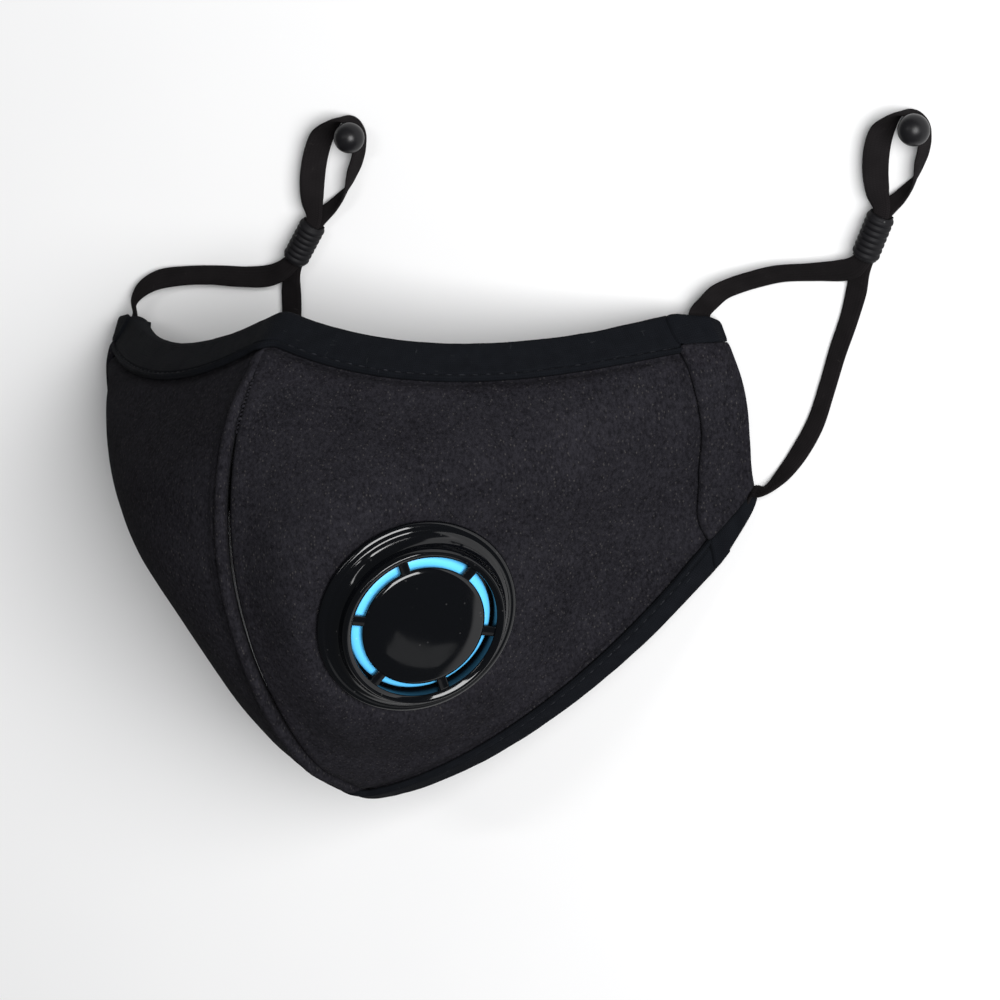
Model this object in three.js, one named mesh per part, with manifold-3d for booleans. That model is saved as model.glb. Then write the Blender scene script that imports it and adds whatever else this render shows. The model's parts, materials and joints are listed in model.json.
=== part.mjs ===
// Half-face sport mask: two moulded foam panels joined down the middle, knit bands round the
// open edges, a folded channel at each side for a flat elastic ear loop, and one exhalation valve.
//
// Millimetres, +Z up. The mask lies hollow side down on its two side hems: +Y points to the nose,
// +X to the wearer's left, and z = 0 is the surface under the hems. The origin is on that surface,
// midway between the hems.
import * as THREE from 'three';
import { mergeVertices } from 'three/addons/utils/BufferGeometryUtils.js';
import Module from 'manifold-3d';

const wasm = await Module();
wasm.setup();

// ---- driving dimensions ----------------------------------------------------------------------

const GAP = 0.3;              // clearance between neighbouring pieces
const FOAM = 2.4;             // thickness of a foam panel
const KNIT = 0.9;             // thickness of the knit binding
const TOP_BAND_WIDTH = 8.6;   // binding along the nose edge, as seen from outside
const CHIN_BAND_WIDTH = 4.5;  // binding along the chin edge
const HEM_WIDTH = 12.4;       // folded side channel, from its stitched edge to its fold
const HEM_FOLD = 1.6;         // thickness of the folded fabric of a side channel

// Knit collars at the two ends of a side channel: how far along the hem each starts and stops, from
// that end of the hem, on the channel's fold and on its stitched edge. The elastic turns out past
// the fold.
const NOSE_COLLAR = { fold: [2.6, 8], edge: [-1.2, 5] };
const CHIN_COLLAR = { fold: [3.2, 4.8], edge: [-1.1, 5.6] };
const CHANNEL_DEPTH = 7.2;    // room for the elastic between a panel's edge and the fold
const SEAM_ROLL = 0.8;        // how far the seam allowance lifts the wearer's right panel
const SEAM_ROLL_WIDTH = 5;

const VALVE_X = 31.7;         // where the middle of the valve sits across the wearer's left panel
const VALVE_ROW = 3.63;       // and along it, in rows of the section table
const VALVE_AXIS = new THREE.Vector3(0.75, -0.26, 0.61).normalize();
const VALVE_RADIUS = 21.8;
const VALVE_FLAT = 23;        // the clamped fabric is flat to this radius
const VALVE_BLEND = 40;       // and back to the panel's own curve at this one
const VALVE_SEAM = 12;        // closer to the seam than this the valve pulls less, and not at all at it
const VALVE_BORE = 13;
const VALVE_NECK = 14.4;
const VALVE_WINDOW = 16.3;    // outer radius of the ring of air slots
const VALVE_DISC = 13.4;      // radius of the middle disc
const VALVE_SPOKES = 6;
const VALVE_SPOKE_TURN = -14; // degrees from the nose direction to the first spoke
const SPOKE_WIDTH = 2.2;

const STRAP_WIDTH = 5.5;
const STRAP_THICK = 0.9;
const ADJUSTER_RADIUS = 2.95;
const ADJUSTER_LENGTH = 10.5;
const BEAD_RADIUS = 3.35;
const LIE = 0.05;              // adjusters and beads clear the resting surface by this much

// Sections of the wearer's left half, from the nose edge to the chin edge. Each is a curve from the
// seam (x = 0) over the crown and the cheek to the hem; sag pulls its middle toward the chin.
const HEM_Z = 1.2;
const sections = [
  { seamY: 54.1, seamZ: 47, crownX: 22, crownZ: 47, cheekX: 47, cheekZ: 35, hemX: 78.2, hemY: 45.85, sag: -5.8 },
  { seamY: 41.35, seamZ: 65, crownX: 22, crownZ: 64, cheekX: 62, cheekZ: 46, hemX: 80.1, hemY: 38.85, sag: -9 },
  { seamY: 24.85, seamZ: 75, crownX: 25, crownZ: 75, cheekX: 55, cheekZ: 56, hemX: 82.3, hemY: 31.35, sag: -8 },
  { seamY: 2.85, seamZ: 78, crownX: 26, crownZ: 78, cheekX: 47.5, cheekZ: 56.5, hemX: 83.2, hemY: 23.85, sag: -7 },
  { seamY: -21.15, seamZ: 72, crownX: 23, crownZ: 71, cheekX: 33.5, cheekZ: 45.5, hemX: 82.7, hemY: 16.35, sag: -8 },
  { seamY: -41.65, seamZ: 58.5, crownX: 21, crownZ: 57, cheekX: 31, cheekZ: 33, hemX: 82.0, hemY: 8.85, sag: -9 },
  { seamY: -54.0, seamZ: 38, crownX: 22.5, crownZ: 38, cheekX: 43, cheekZ: 20.5, hemX: 82.6, hemY: 2.0, sag: -11.0 },
];
const LAST_ROW = sections.length - 1;

// ---- the moulded surface ---------------------------------------------------------------------

// Catmull-Rom value of one column of the section table at a fractional row.
function column(name, row) {
  const i = Math.min(Math.max(Math.floor(row), 0), LAST_ROW - 1);
  const f = row - i;
  const at = (k) => {
    if (k < 0) return 2 * sections[0][name] - sections[1][name];
    if (k > LAST_ROW) return 2 * sections[LAST_ROW][name] - sections[LAST_ROW - 1][name];
    return sections[k][name];
  };
  const [a, b, c, d] = [at(i - 1), at(i), at(i + 1), at(i + 2)];
  return b + 0.5 * f * (c - a + f * (2 * a - 5 * b + 4 * c - d + f * (3 * (b - c) + d - a)));
}

// Cubic Bezier value.
function bezier(a, b, c, d, v) {
  const w = 1 - v;
  return w * w * w * a + 3 * w * w * v * b + 3 * w * v * v * c + v * v * v * d;
}

// Outer surface of the wearer's left half before the valve flattens it. v runs from the seam (0) to
// the hem (1), row from the nose edge (0) to the chin edge (LAST_ROW).
function loft(v, row) {
  const c = (name) => column(name, row);
  const x = bezier(0, c('crownX'), c('cheekX'), c('hemX'), v);
  const z = bezier(c('seamZ'), c('crownZ'), c('cheekZ'), HEM_Z, v);
  const s = x / c('hemX');
  const y = THREE.MathUtils.lerp(c('seamY'), c('hemY'), s) + 4 * c('sag') * s * (1 - s);
  return new THREE.Vector3(x, y, z);
}

// The place across a section where it is x millimetres from the seam.
function acrossAt(x, row) {
  let low = 0;
  let high = 1;
  for (let i = 0; i < 30; i++) {
    const mid = (low + high) / 2;
    if (loft(mid, row).x < x) low = mid;
    else high = mid;
  }
  return (low + high) / 2;
}

const valveCentre = loft(acrossAt(VALVE_X, VALVE_ROW), VALVE_ROW);

// Outer surface of one half: side is 1 for the wearer's left half, which carries the valve, and -1
// for the right one, which carries the roll of the seam.
function surface(side, v, row) {
  const p = loft(v, row);
  if (side > 0) {
    const out = p.clone().sub(valveCentre);
    const height = out.dot(VALVE_AXIS);
    const radius = out.addScaledVector(VALVE_AXIS, -height).length();
    const near = 1 - THREE.MathUtils.smoothstep(radius, VALVE_FLAT, VALVE_BLEND);
    const hold = near * THREE.MathUtils.smoothstep(p.x, 0, VALVE_SEAM);
    return p.addScaledVector(VALVE_AXIS, -height * hold);
  }
  const roll = Math.min(p.x / SEAM_ROLL_WIDTH, 1);
  p.z += SEAM_ROLL * Math.sin(Math.PI * roll);
  p.x = -p.x;
  return p;
}

// Surface point, outward normal, and the directions along it toward the hem and toward the chin, each
// with how many millimetres away from the other direction's line one unit of v or row goes.
function frameAt(side, v, row) {
  const step = 0.004;
  const p = surface(side, v, row);
  const across = surface(side, v + step, row).sub(surface(side, v - step, row));
  const along = surface(side, v, row + step * LAST_ROW).sub(surface(side, v, row - step * LAST_ROW));
  const turn = along.clone().cross(across);
  return {
    p,
    normal: turn.clone().normalize().multiplyScalar(side),
    hemRate: turn.length() / along.length() / (2 * step),
    toChin: along.clone().normalize(),
    chinRate: turn.length() / across.length() / (2 * step * LAST_ROW),
  };
}

// ---- solids ------------------------------------------------------------------------------------

// Closed solid through rings of equal length. capTriangles gives the triangles that close an end.
function solidFromRings(rings, capTriangles = flatCap) {
  const count = rings[0].length;
  const position = rings.flat().flatMap((p) => [p.x, p.y, p.z]);
  const index = [];
  for (let i = 0; i < rings.length - 1; i++) {
    const a = i * count;
    const b = a + count;
    for (let j = 0; j < count; j++) {
      const k = (j + 1) % count;
      index.push(a + j, a + k, b + k, a + j, b + k, b + j);
    }
  }
  const end = (rings.length - 1) * count;
  for (const [a, b, c] of capTriangles(rings[0])) index.push(a, c, b);
  for (const [a, b, c] of capTriangles(rings[rings.length - 1])) index.push(end + a, end + b, end + c);
  const geometry = new THREE.BufferGeometry();
  geometry.setAttribute('position', new THREE.Float32BufferAttribute(position, 3));
  geometry.setIndex(index);
  return outward(geometry);
}

// Triangles across a wall whose ring runs out along one face and back along the other.
function wallCap(ring) {
  const triangles = [];
  for (let j = 0; j < ring.length / 2 - 1; j++) {
    const back = ring.length - 1 - j;
    triangles.push([j, j + 1, back - 1], [j, back - 1, back]);
  }
  return triangles;
}

// Triangles of a nearly flat ring, found in the ring's own plane.
function flatCap(ring) {
  const middle = ring.reduce((m, p) => m.add(p), new THREE.Vector3()).divideScalar(ring.length);
  const normal = new THREE.Vector3();
  ring.forEach((p, i) => {
    const q = ring[(i + 1) % ring.length];
    normal.add(p.clone().sub(middle).cross(q.clone().sub(middle)));
  });
  normal.normalize();
  const u = ring[0].clone().sub(middle);
  u.addScaledVector(normal, -u.dot(normal)).normalize();
  const w = normal.clone().cross(u);
  const flat = ring.map((p) => new THREE.Vector2(p.clone().sub(middle).dot(u), p.clone().sub(middle).dot(w)));
  return THREE.ShapeUtils.triangulateShape(flat, []);
}

function signedVolume(geometry) {
  const p = geometry.attributes.position;
  const [a, b, c] = [new THREE.Vector3(), new THREE.Vector3(), new THREE.Vector3()];
  let volume = 0;
  for (let i = 0; i < geometry.index.count; i += 3) {
    a.fromBufferAttribute(p, geometry.index.getX(i));
    b.fromBufferAttribute(p, geometry.index.getX(i + 1));
    c.fromBufferAttribute(p, geometry.index.getX(i + 2));
    volume += a.dot(b.cross(c)) / 6;
  }
  return volume;
}

// The same solid with its faces pointing out.
function outward(geometry) {
  if (signedVolume(geometry) >= 0) return geometry;
  const index = Array.from(geometry.index.array);
  for (let i = 0; i < index.length; i += 3) [index[i + 1], index[i + 2]] = [index[i + 2], index[i + 1]];
  geometry.setIndex(index);
  return geometry;
}

function toManifold(geometry, matrix = new THREE.Matrix4()) {
  const bare = geometry.clone();
  bare.deleteAttribute('normal');
  bare.deleteAttribute('uv');
  const merged = mergeVertices(bare, 1e-4).applyMatrix4(matrix);
  return new wasm.Manifold(new wasm.Mesh({
    numProp: 3,
    vertProperties: new Float32Array(merged.attributes.position.array),
    triVerts: new Uint32Array(merged.index.array),
  }));
}

function toGeometry(manifold) {
  const mesh = manifold.getMesh();
  const geometry = new THREE.BufferGeometry();
  geometry.setAttribute('position', new THREE.Float32BufferAttribute(mesh.vertProperties, 3));
  geometry.setIndex(Array.from(mesh.triVerts));
  return geometry;
}

// What is left of a solid above the resting surface.
function aboveFloor(geometry) {
  const size = 400;
  const block = new THREE.BoxGeometry(size, size, size).translate(0, 0, size / 2);
  return toGeometry(toManifold(geometry).intersect(toManifold(block)));
}

// Lathe of a closed outline of [radius, height] points about +Z.
function turned(outline, segments = 36) {
  const points = outline.map(([r, h]) => new THREE.Vector2(r, h));
  points.push(points[0].clone());
  const geometry = new THREE.LatheGeometry(points, segments);
  geometry.rotateX(Math.PI / 2);
  geometry.deleteAttribute('normal');
  geometry.deleteAttribute('uv');
  return outward(mergeVertices(geometry, 1e-4));
}

// ---- the foam panels ----------------------------------------------------------------------------

const PANEL_ACROSS = 16;
const PANEL_ALONG = 20;

// A panel stops short of the hem, where the elastic's channel begins.
function panel(side) {
  const rings = [];
  for (let i = 0; i <= PANEL_ALONG; i++) {
    const row = (i / PANEL_ALONG) * LAST_ROW;
    const edge = 1 - (CHANNEL_DEPTH + GAP) / frameAt(side, 1, row).hemRate;
    const outer = [];
    const inner = [];
    for (let j = 0; j <= PANEL_ACROSS; j++) {
      const f = frameAt(side, (j / PANEL_ACROSS) * edge, row);
      const under = f.p.clone().addScaledVector(f.normal, -FOAM);
      for (const p of [f.p, under]) p.x = side * Math.max(side * p.x, GAP / 2);
      outer.push(f.p);
      inner.unshift(under);
    }
    rings.push([...outer, ...inner]);
  }
  return solidFromRings(rings, wallCap);
}

// ---- knit bindings --------------------------------------------------------------------------------

// Outline of a folded strip round an edge: depth counts inward from the edge and lift outward from
// the panel's face.
function foldedOutline(width, thick) {
  const lift = GAP + thick;
  const under = -FOAM - GAP;
  const depths = [1, 0.68, 0.35, 0.03].map((share) => share * width);
  const back = [...depths].reverse();
  return [
    ...depths.map((depth) => ({ depth, lift })),
    { depth: -GAP - 0.8 * thick, lift: -0.15 * FOAM }, { depth: -GAP - thick, lift: -0.5 * FOAM },
    { depth: -GAP - 0.8 * thick, lift: -0.85 * FOAM },
    ...back.map((depth) => ({ depth, lift: under - thick })),
    ...depths.map((depth) => ({ depth, lift: under })),
    { depth: -GAP, lift: under }, { depth: -GAP, lift: GAP },
    ...back.map((depth) => ({ depth, lift: GAP })),
  ];
}

// A binding along the nose edge (row 0) or the chin edge (last row), from hem to hem.
function binding(edgeRow, width) {
  const inward = edgeRow === 0 ? 1 : -1;
  const steps = 17;
  const rings = [];
  for (let i = -steps; i <= steps; i++) {
    if (i === 0) continue;
    const side = Math.sign(i);
    const end = frameAt(side, 1, edgeRow);
    const last = 1 - (HEM_WIDTH + 3 * GAP) / end.hemRate;
    const first = 0.004;
    const v = first + (last - first) * ((Math.abs(i) - 1) / (steps - 1));
    const edge = frameAt(side, v, edgeRow);
    const ring = foldedOutline(width, KNIT).map(({ depth, lift }) => {
      const on = depth > 0 ? frameAt(side, v, edgeRow + inward * depth / edge.chinRate) : edge;
      const p = on.p.clone().addScaledVector(on.normal, lift);
      if (depth < 0) p.addScaledVector(edge.toChin, inward * depth);
      return p;
    });
    rings.push(ring);
  }
  return solidFromRings(rings);
}

// ---- side channels --------------------------------------------------------------------------------

// Outline of the channel, as foldedOutline: it holds the panel's edge, then narrows to its fold.
function channelOutline() {
  const mid = -FOAM / 2;
  const room = 0.95;
  return [
    { depth: HEM_WIDTH, lift: GAP }, { depth: HEM_WIDTH, lift: GAP + 0.6 * HEM_FOLD },
    { depth: HEM_WIDTH - 1.5, lift: GAP + HEM_FOLD }, { depth: 5, lift: GAP + HEM_FOLD },
    { depth: 2, lift: mid + room + HEM_FOLD }, { depth: 0.4, lift: mid + 1.4 },
    { depth: 0, lift: mid }, { depth: 0.4, lift: mid - 1.4 },
    { depth: 2, lift: mid - room - HEM_FOLD }, { depth: 5, lift: -FOAM - GAP - HEM_FOLD },
    { depth: HEM_WIDTH - 1.5, lift: -FOAM - GAP - HEM_FOLD },
    { depth: HEM_WIDTH, lift: -FOAM - GAP - 0.6 * HEM_FOLD }, { depth: HEM_WIDTH, lift: -FOAM - GAP },
    { depth: 6, lift: -FOAM - GAP }, { depth: 1.9, lift: mid - room },
    { depth: 1.9, lift: mid + room }, { depth: 6, lift: GAP },
  ];
}

function onHem(side, depth, lift, row) {
  const hem = frameAt(side, 1, row);
  const on = frameAt(side, 1 - depth / hem.hemRate, row);
  return on.p.addScaledVector(on.normal, lift);
}

// Part of a side channel between two distances from its nose end, each given on the channel's fold
// and on its stitched edge.
function channel(side, from, to, steps) {
  const rate = LAST_ROW / hemLength;
  const rings = [];
  for (let i = 0; i <= steps; i++) {
    rings.push(channelOutline().map(({ depth, lift }) => {
      const share = depth / HEM_WIDTH;
      const nose = THREE.MathUtils.lerp(from.fold, from.edge, share);
      const chin = THREE.MathUtils.lerp(to.fold, to.edge, share);
      return onHem(side, depth, lift, (nose + (chin - nose) * (i / steps)) * rate);
    }));
  }
  return aboveFloor(solidFromRings(rings));
}

// The places along the hem where the collars and the channel between them start and stop.
function hemPlaces() {
  const place = (far, gap) => ({ fold: far.fold + gap, edge: far.edge + gap });
  const [noseStart, noseStop] = [0, 1].map((i) => ({ fold: NOSE_COLLAR.fold[i], edge: NOSE_COLLAR.edge[i] }));
  const [chinStop, chinStart] = [0, 1].map((i) => (
    { fold: hemLength - CHIN_COLLAR.fold[i], edge: hemLength - CHIN_COLLAR.edge[i] }));
  return {
    noseCollar: [noseStart, noseStop], channel: [place(noseStop, GAP), place(chinStart, -GAP)],
    chinCollar: [chinStart, chinStop],
  };
}

const hemLength = surface(1, 1, 0).distanceTo(surface(1, 1, LAST_ROW));

// ---- the valve --------------------------------------------------------------------------------------

const valvePlace = new THREE.Group();
const valveNose = new THREE.Vector3(0, 1, 0).addScaledVector(VALVE_AXIS, -VALVE_AXIS.y).normalize();
const valveSide = valveNose.clone().cross(VALVE_AXIS);
valvePlace.applyMatrix4(new THREE.Matrix4().makeBasis(valveSide, valveNose, VALVE_AXIS));
valvePlace.position.copy(valveCentre);

// Base: a stepped flange on the fabric, with a neck through the panel and a raised rim round the slots.
const flangeProfile = [
  [VALVE_BORE, -FOAM - 3.2], [VALVE_NECK, -FOAM - 3.2], [VALVE_NECK, GAP], [VALVE_RADIUS - 0.5, GAP],
  [VALVE_RADIUS, 0.8], [VALVE_RADIUS, 1.5], [VALVE_RADIUS - 0.5, 1.9], [20.1, 1.9], [19.7, 2.6],
  [19.0, 2.9], [18.2, 3.8], [17.9, 6.2], [17.4, 6.9], [16.8, 6.9], [VALVE_WINDOW, 6.4],
  [VALVE_WINDOW, 2.0], [VALVE_BORE, 2.0],
];

// Cap: a domed disc carried by short spokes across the ring of air slots.
const capProfile = [
  [0, 4.9], [VALVE_DISC - 0.4, 4.9], [VALVE_DISC, 5.2], [VALVE_DISC, 5.8], [VALVE_DISC - 0.5, 6.2],
  [10, 6.8], [6, 7.2], [0, 7.4],
];

function valveCap() {
  let solid = toManifold(turned(capProfile));
  const reach = VALVE_WINDOW - GAP;
  for (let i = 0; i < VALVE_SPOKES; i++) {
    const turn = THREE.MathUtils.degToRad(VALVE_SPOKE_TURN + (360 / VALVE_SPOKES) * i);
    const spoke = new THREE.BoxGeometry(SPOKE_WIDTH, 4, 1).translate(0, reach - 2, 5.5);
    solid = solid.add(toManifold(spoke, new THREE.Matrix4().makeRotationZ(-turn)));
  }
  return toGeometry(solid);
}

// Membrane: the blue ring that shows between the spokes, on the base's inner ledge.
const membraneProfile = [[9, 2.3], [VALVE_WINDOW - GAP, 2.3], [VALVE_WINDOW - GAP, 3.1], [9, 3.1]];

// Ring inside the mask that clamps the fabric against the flange.
const backRingProfile = [
  [VALVE_NECK + GAP, -FOAM - GAP - 1.8], [18.8, -FOAM - GAP - 1.8], [19.4, -FOAM - GAP - 1.2],
  [19.4, -FOAM - GAP], [VALVE_NECK + GAP, -FOAM - GAP],
];

// The panel's hole for the neck.
function withValveHole(geometry) {
  const hole = new THREE.CylinderGeometry(VALVE_NECK + GAP, VALVE_NECK + GAP, 30, 36);
  hole.rotateX(Math.PI / 2);
  valvePlace.updateMatrix();
  return toGeometry(toManifold(geometry).subtract(toManifold(hole, valvePlace.matrix)));
}

// ---- ear loops ----------------------------------------------------------------------------------------

// Routes of the two elastic loops, each from the nose end of its channel, round through its adjuster
// and over its bead, and back to the chin end of the channel. lean tips the strap's face from lying
// flat toward the right of its run, and wide scales its width where it is gathered.
const STRAP_DEPTH = 4.6;      // the strap's middle inside the channel, from the fold

// Part round the bead, from the adjuster's open end: ahead along the adjuster and right of it.
const eyeRoute = [
  { ahead: 0.0, right: 0.0, z: 3.6, lean: 0, wide: 0.7 },
  { ahead: 5.2, right: 0.0, z: 3.6, lean: 0, wide: 0.7 },
  { ahead: 11.6, right: -0.2, z: 3.6, lean: 1, wide: 0.7 },
  { ahead: 14.4, right: -2.6, z: 3.2, lean: 20, wide: 0.95 },
  { ahead: 17.8, right: -4.9, z: 2.6, lean: 32, wide: 1 },
  { ahead: 22.4, right: -6.4, z: 2.5, lean: 38, wide: 1 },
  { ahead: 26.6, right: -6.6, z: 2.7, lean: 50, wide: 1 },
  { ahead: 30.2, right: -5.4, z: 3.1, lean: 80, wide: 0.98 },
  { ahead: 32.6, right: -3.4, z: 3.1, lean: 90, wide: 0.98 },
  { ahead: 33.3, right: -1.0, z: 3.1, lean: 90, wide: 0.94 },
  { ahead: 32.3, right: 1.6, z: 3.0, lean: 90, wide: 0.9 },
  { ahead: 29.4, right: 3.2, z: 2.9, lean: 90, wide: 0.9 },
  { ahead: 25.4, right: 3.8, z: 2.8, lean: 90, wide: 0.96 },
  { ahead: 20.8, right: 3.9, z: 2.5, lean: 68, wide: 0.88 },
  { ahead: 15.8, right: 2.2, z: 2.1, lean: 30, wide: 0.66 },
  { ahead: 10.6, right: 0.0, z: 2.3, lean: 4, wide: 0.7 },
  { ahead: 5.2, right: 0.0, z: 2.3, lean: 0, wide: 0.7 },
  { ahead: 0.0, right: 0.0, z: 2.3, lean: 0, wide: 0.7 },
];
const BEAD_AHEAD = 29.0;
const BEAD_RIGHT = -0.8;

const loops = {
  left: {
    side: 1, adjusterX: 116.5, adjusterY: 56.45, heading: 30.5, bend: -1.5, stretch: 1,
    mouth: [[0.6, 4.7], [0.3, 4.5], [0.05, 3.9]],
    out: [
      { x: 78.2, y: 47.4, z: 3.7, lean: 46, wide: 0.9 },
      { x: 80.6, y: 49.2, z: 3.5, lean: 44, wide: 0.94 },
      { x: 84.0, y: 50.5, z: 3.2, lean: 42, wide: 0.94 },
      { x: 88.6, y: 51.7, z: 2.7, lean: 40, wide: 0.92 },
      { x: 95.0, y: 52.9, z: 2.3, lean: 37, wide: 0.92 },
      { x: 103.5, y: 53.2, z: 2.1, lean: 34, wide: 0.92 },
      { x: 110.4, y: 53.6, z: 2.6, lean: 24, wide: 0.95 },
      { x: 114.2, y: 54.6, z: 3.4, lean: 8, wide: 0.8 },
    ],
    back: [
      { x: 114.4, y: 53.2, z: 1.7, lean: 2, wide: 0.8 },
      { x: 112.6, y: 49.2, z: 1.0, lean: 4, wide: 0.9 },
      { x: 110.0, y: 43.2, z: 0.9, lean: 7, wide: 0.82 },
      { x: 106.2, y: 35.8, z: 0.9, lean: 7, wide: 0.78 },
      { x: 102.7, y: 28.2, z: 0.9, lean: 7, wide: 0.78 },
      { x: 98.9, y: 20.6, z: 0.9, lean: 8, wide: 0.78 },
      { x: 94.3, y: 13.8, z: 1.1, lean: 14, wide: 0.82 },
      { x: 89.7, y: 8.6, z: 1.8, lean: 34, wide: 0.88 },
      { x: 86.8, y: 4.9, z: 2.6, lean: 56, wide: 0.88 },
      { x: 85.4, y: 2.6, z: 2.9, lean: 72, wide: 0.88 },
      { x: 83.6, y: 0.9, z: 3.0, lean: 80, wide: 0.84 },
      { x: 82.0, y: 0.6, z: 3.1, lean: 72, wide: 0.84 },
    ],
    entry: [[5.88, 3.0], [5.5, 4.2]],
  },
  right: {
    side: -1, adjusterX: -28.75, adjusterY: 56.75, heading: 38.8, bend: -5, stretch: 1.14,
    mouth: [[0.6, 4.5], [0.3, 4.4], [0.05, 4.6]],
    out: [
      { x: -74.0, y: 47.6, z: 4.2, lean: -48, wide: 0.9 },
      { x: -72.0, y: 50.1, z: 3.9, lean: -50, wide: 0.96 },
      { x: -67.6, y: 52.3, z: 3.1, lean: -50, wide: 0.94 },
      { x: -60.0, y: 53.2, z: 2.6, lean: -50, wide: 0.92 },
      { x: -52.0, y: 53.3, z: 2.4, lean: -48, wide: 0.92 },
      { x: -43.6, y: 52.9, z: 2.5, lean: -42, wide: 0.92 },
      { x: -36.4, y: 53.2, z: 2.8, lean: -28, wide: 0.95 },
      { x: -31.8, y: 54.7, z: 3.4, lean: -8, wide: 0.8 },
    ],
    back: [
      { x: -30.8, y: 53.6, z: 1.7, lean: 2, wide: 0.8 },
      { x: -32.2, y: 49.4, z: 1.0, lean: 0, wide: 0.95 },
      { x: -33.0, y: 44.4, z: 0.9, lean: 0, wide: 0.94 },
      { x: -35.4, y: 34.8, z: 0.9, lean: 0, wide: 1 },
      { x: -40.4, y: 24.2, z: 0.9, lean: 0, wide: 1 },
      { x: -48.0, y: 13.2, z: 0.9, lean: 0, wide: 1 },
      { x: -57.0, y: 3.6, z: 0.9, lean: 0, wide: 1 },
      { x: -65.2, y: -5.6, z: 0.9, lean: 0, wide: 1 },
      { x: -71.6, y: -10.6, z: 1.0, lean: -6, wide: 0.92 },
      { x: -76.8, y: -11.0, z: 2.1, lean: -26, wide: 0.8 },
      { x: -79.4, y: -7.8, z: 3.1, lean: -42, wide: 0.8 },
    ],
    entry: [[6, 4.2], [5.6, 4.6]],
  },
};

// A place beside an adjuster lying on the resting surface: ahead along it from its open end and to
// its right. Past the adjuster, bend turns the loop aside and stretch lengthens it.
function besideAdjuster(loop, ahead, right, z) {
  const past = Math.max(ahead - ADJUSTER_LENGTH, 0) * loop.stretch;
  const bend = THREE.MathUtils.degToRad(loop.bend);
  const local = new THREE.Vector2(right + past * Math.sin(bend), Math.min(ahead, ADJUSTER_LENGTH) + past * Math.cos(bend));
  local.rotateAround(new THREE.Vector2(), -THREE.MathUtils.degToRad(loop.heading));
  return new THREE.Vector3(loop.adjusterX + local.x, loop.adjusterY + local.y, z);
}

// Strap points inside the channel at some rows and depths from the fold, leaning as the fabric there
// does.
function channelRoute(side, places) {
  return places.map(([row, depth]) => {
    const { normal, toChin } = frameAt(side, 1, row);
    const right = new THREE.Vector3(0, 0, 1).cross(toChin).normalize();
    const up = toChin.clone().cross(right);
    const lean = THREE.MathUtils.radToDeg(Math.atan2(normal.dot(right), normal.dot(up)));
    return { p: onHem(side, depth, -FOAM / 2, row), lean, wide: 0.88 };
  });
}

function loopRoute(loop) {
  const plain = (list) => list.map((q) => ({ ...q, p: new THREE.Vector3(q.x, q.y, q.z) }));
  const eye = eyeRoute.map((q) => ({ ...q, p: besideAdjuster(loop, q.ahead, q.right, q.z) }));
  return [
    ...channelRoute(loop.side, [[2.95, STRAP_DEPTH], [2, STRAP_DEPTH], [1.1, STRAP_DEPTH], ...loop.mouth]),
    ...plain(loop.out), ...eye, ...plain(loop.back),
    ...channelRoute(loop.side, [...loop.entry, [5, STRAP_DEPTH], [4, STRAP_DEPTH], [3.05, STRAP_DEPTH]]),
  ];
}

// Flat strap swept along a route, its section an eight-sided rounded strip.
function strap(route, steps) {
  const curve = new THREE.CatmullRomCurve3(route.map((q) => q.p), false, 'centripetal');
  const rings = [];
  for (let i = 0; i <= steps; i++) {
    const t = i / steps;
    const at = t * (route.length - 1);
    const k = Math.min(Math.floor(at), route.length - 2);
    const f = at - k;
    const lean = THREE.MathUtils.degToRad(THREE.MathUtils.lerp(route[k].lean, route[k + 1].lean, f));
    const half = STRAP_WIDTH / 2 * THREE.MathUtils.lerp(route[k].wide, route[k + 1].wide, f);
    const middle = curve.getPoint(t);
    const run = curve.getTangent(t);
    const right = run.clone().cross(new THREE.Vector3(0, 0, 1)).normalize();
    const up = right.clone().cross(run);
    const face = up.multiplyScalar(Math.cos(lean)).addScaledVector(right, Math.sin(lean));
    const cross = run.clone().cross(face).normalize();
    const thin = STRAP_THICK / 2;
    const soft = 0.45 * thin;
    const outline = [
      [half - soft, thin], [half, thin - soft], [half, soft - thin], [half - soft, -thin],
      [soft - half, -thin], [-half, soft - thin], [-half, thin - soft], [soft - half, thin],
    ];
    rings.push(outline.map(([w, h]) => middle.clone().addScaledVector(cross, w).addScaledVector(face, h)));
  }
  return solidFromRings(rings);
}

// Ribbed tube that both runs of a loop pass through.
function adjuster() {
  const ribs = 7;
  const pitch = (ADJUSTER_LENGTH - 1) / ribs;
  const outline = [[0, 0], [ADJUSTER_RADIUS - 0.35, 0]];
  for (let i = 0; i < ribs; i++) {
    const start = 0.5 + i * pitch;
    outline.push([ADJUSTER_RADIUS - 0.3, start], [ADJUSTER_RADIUS, start + 0.3 * pitch]);
    outline.push([ADJUSTER_RADIUS, start + 0.7 * pitch]);
  }
  outline.push([ADJUSTER_RADIUS - 0.3, ADJUSTER_LENGTH - 0.5]);
  outline.push([ADJUSTER_RADIUS - 0.35, ADJUSTER_LENGTH], [0, ADJUSTER_LENGTH]);
  const slot = new THREE.BoxGeometry(0.76 * STRAP_WIDTH, 2.9, 40);
  return toGeometry(toManifold(turned(outline, 16)).subtract(toManifold(slot)));
}

// ---- materials and assembly ---------------------------------------------------------------------------

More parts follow.
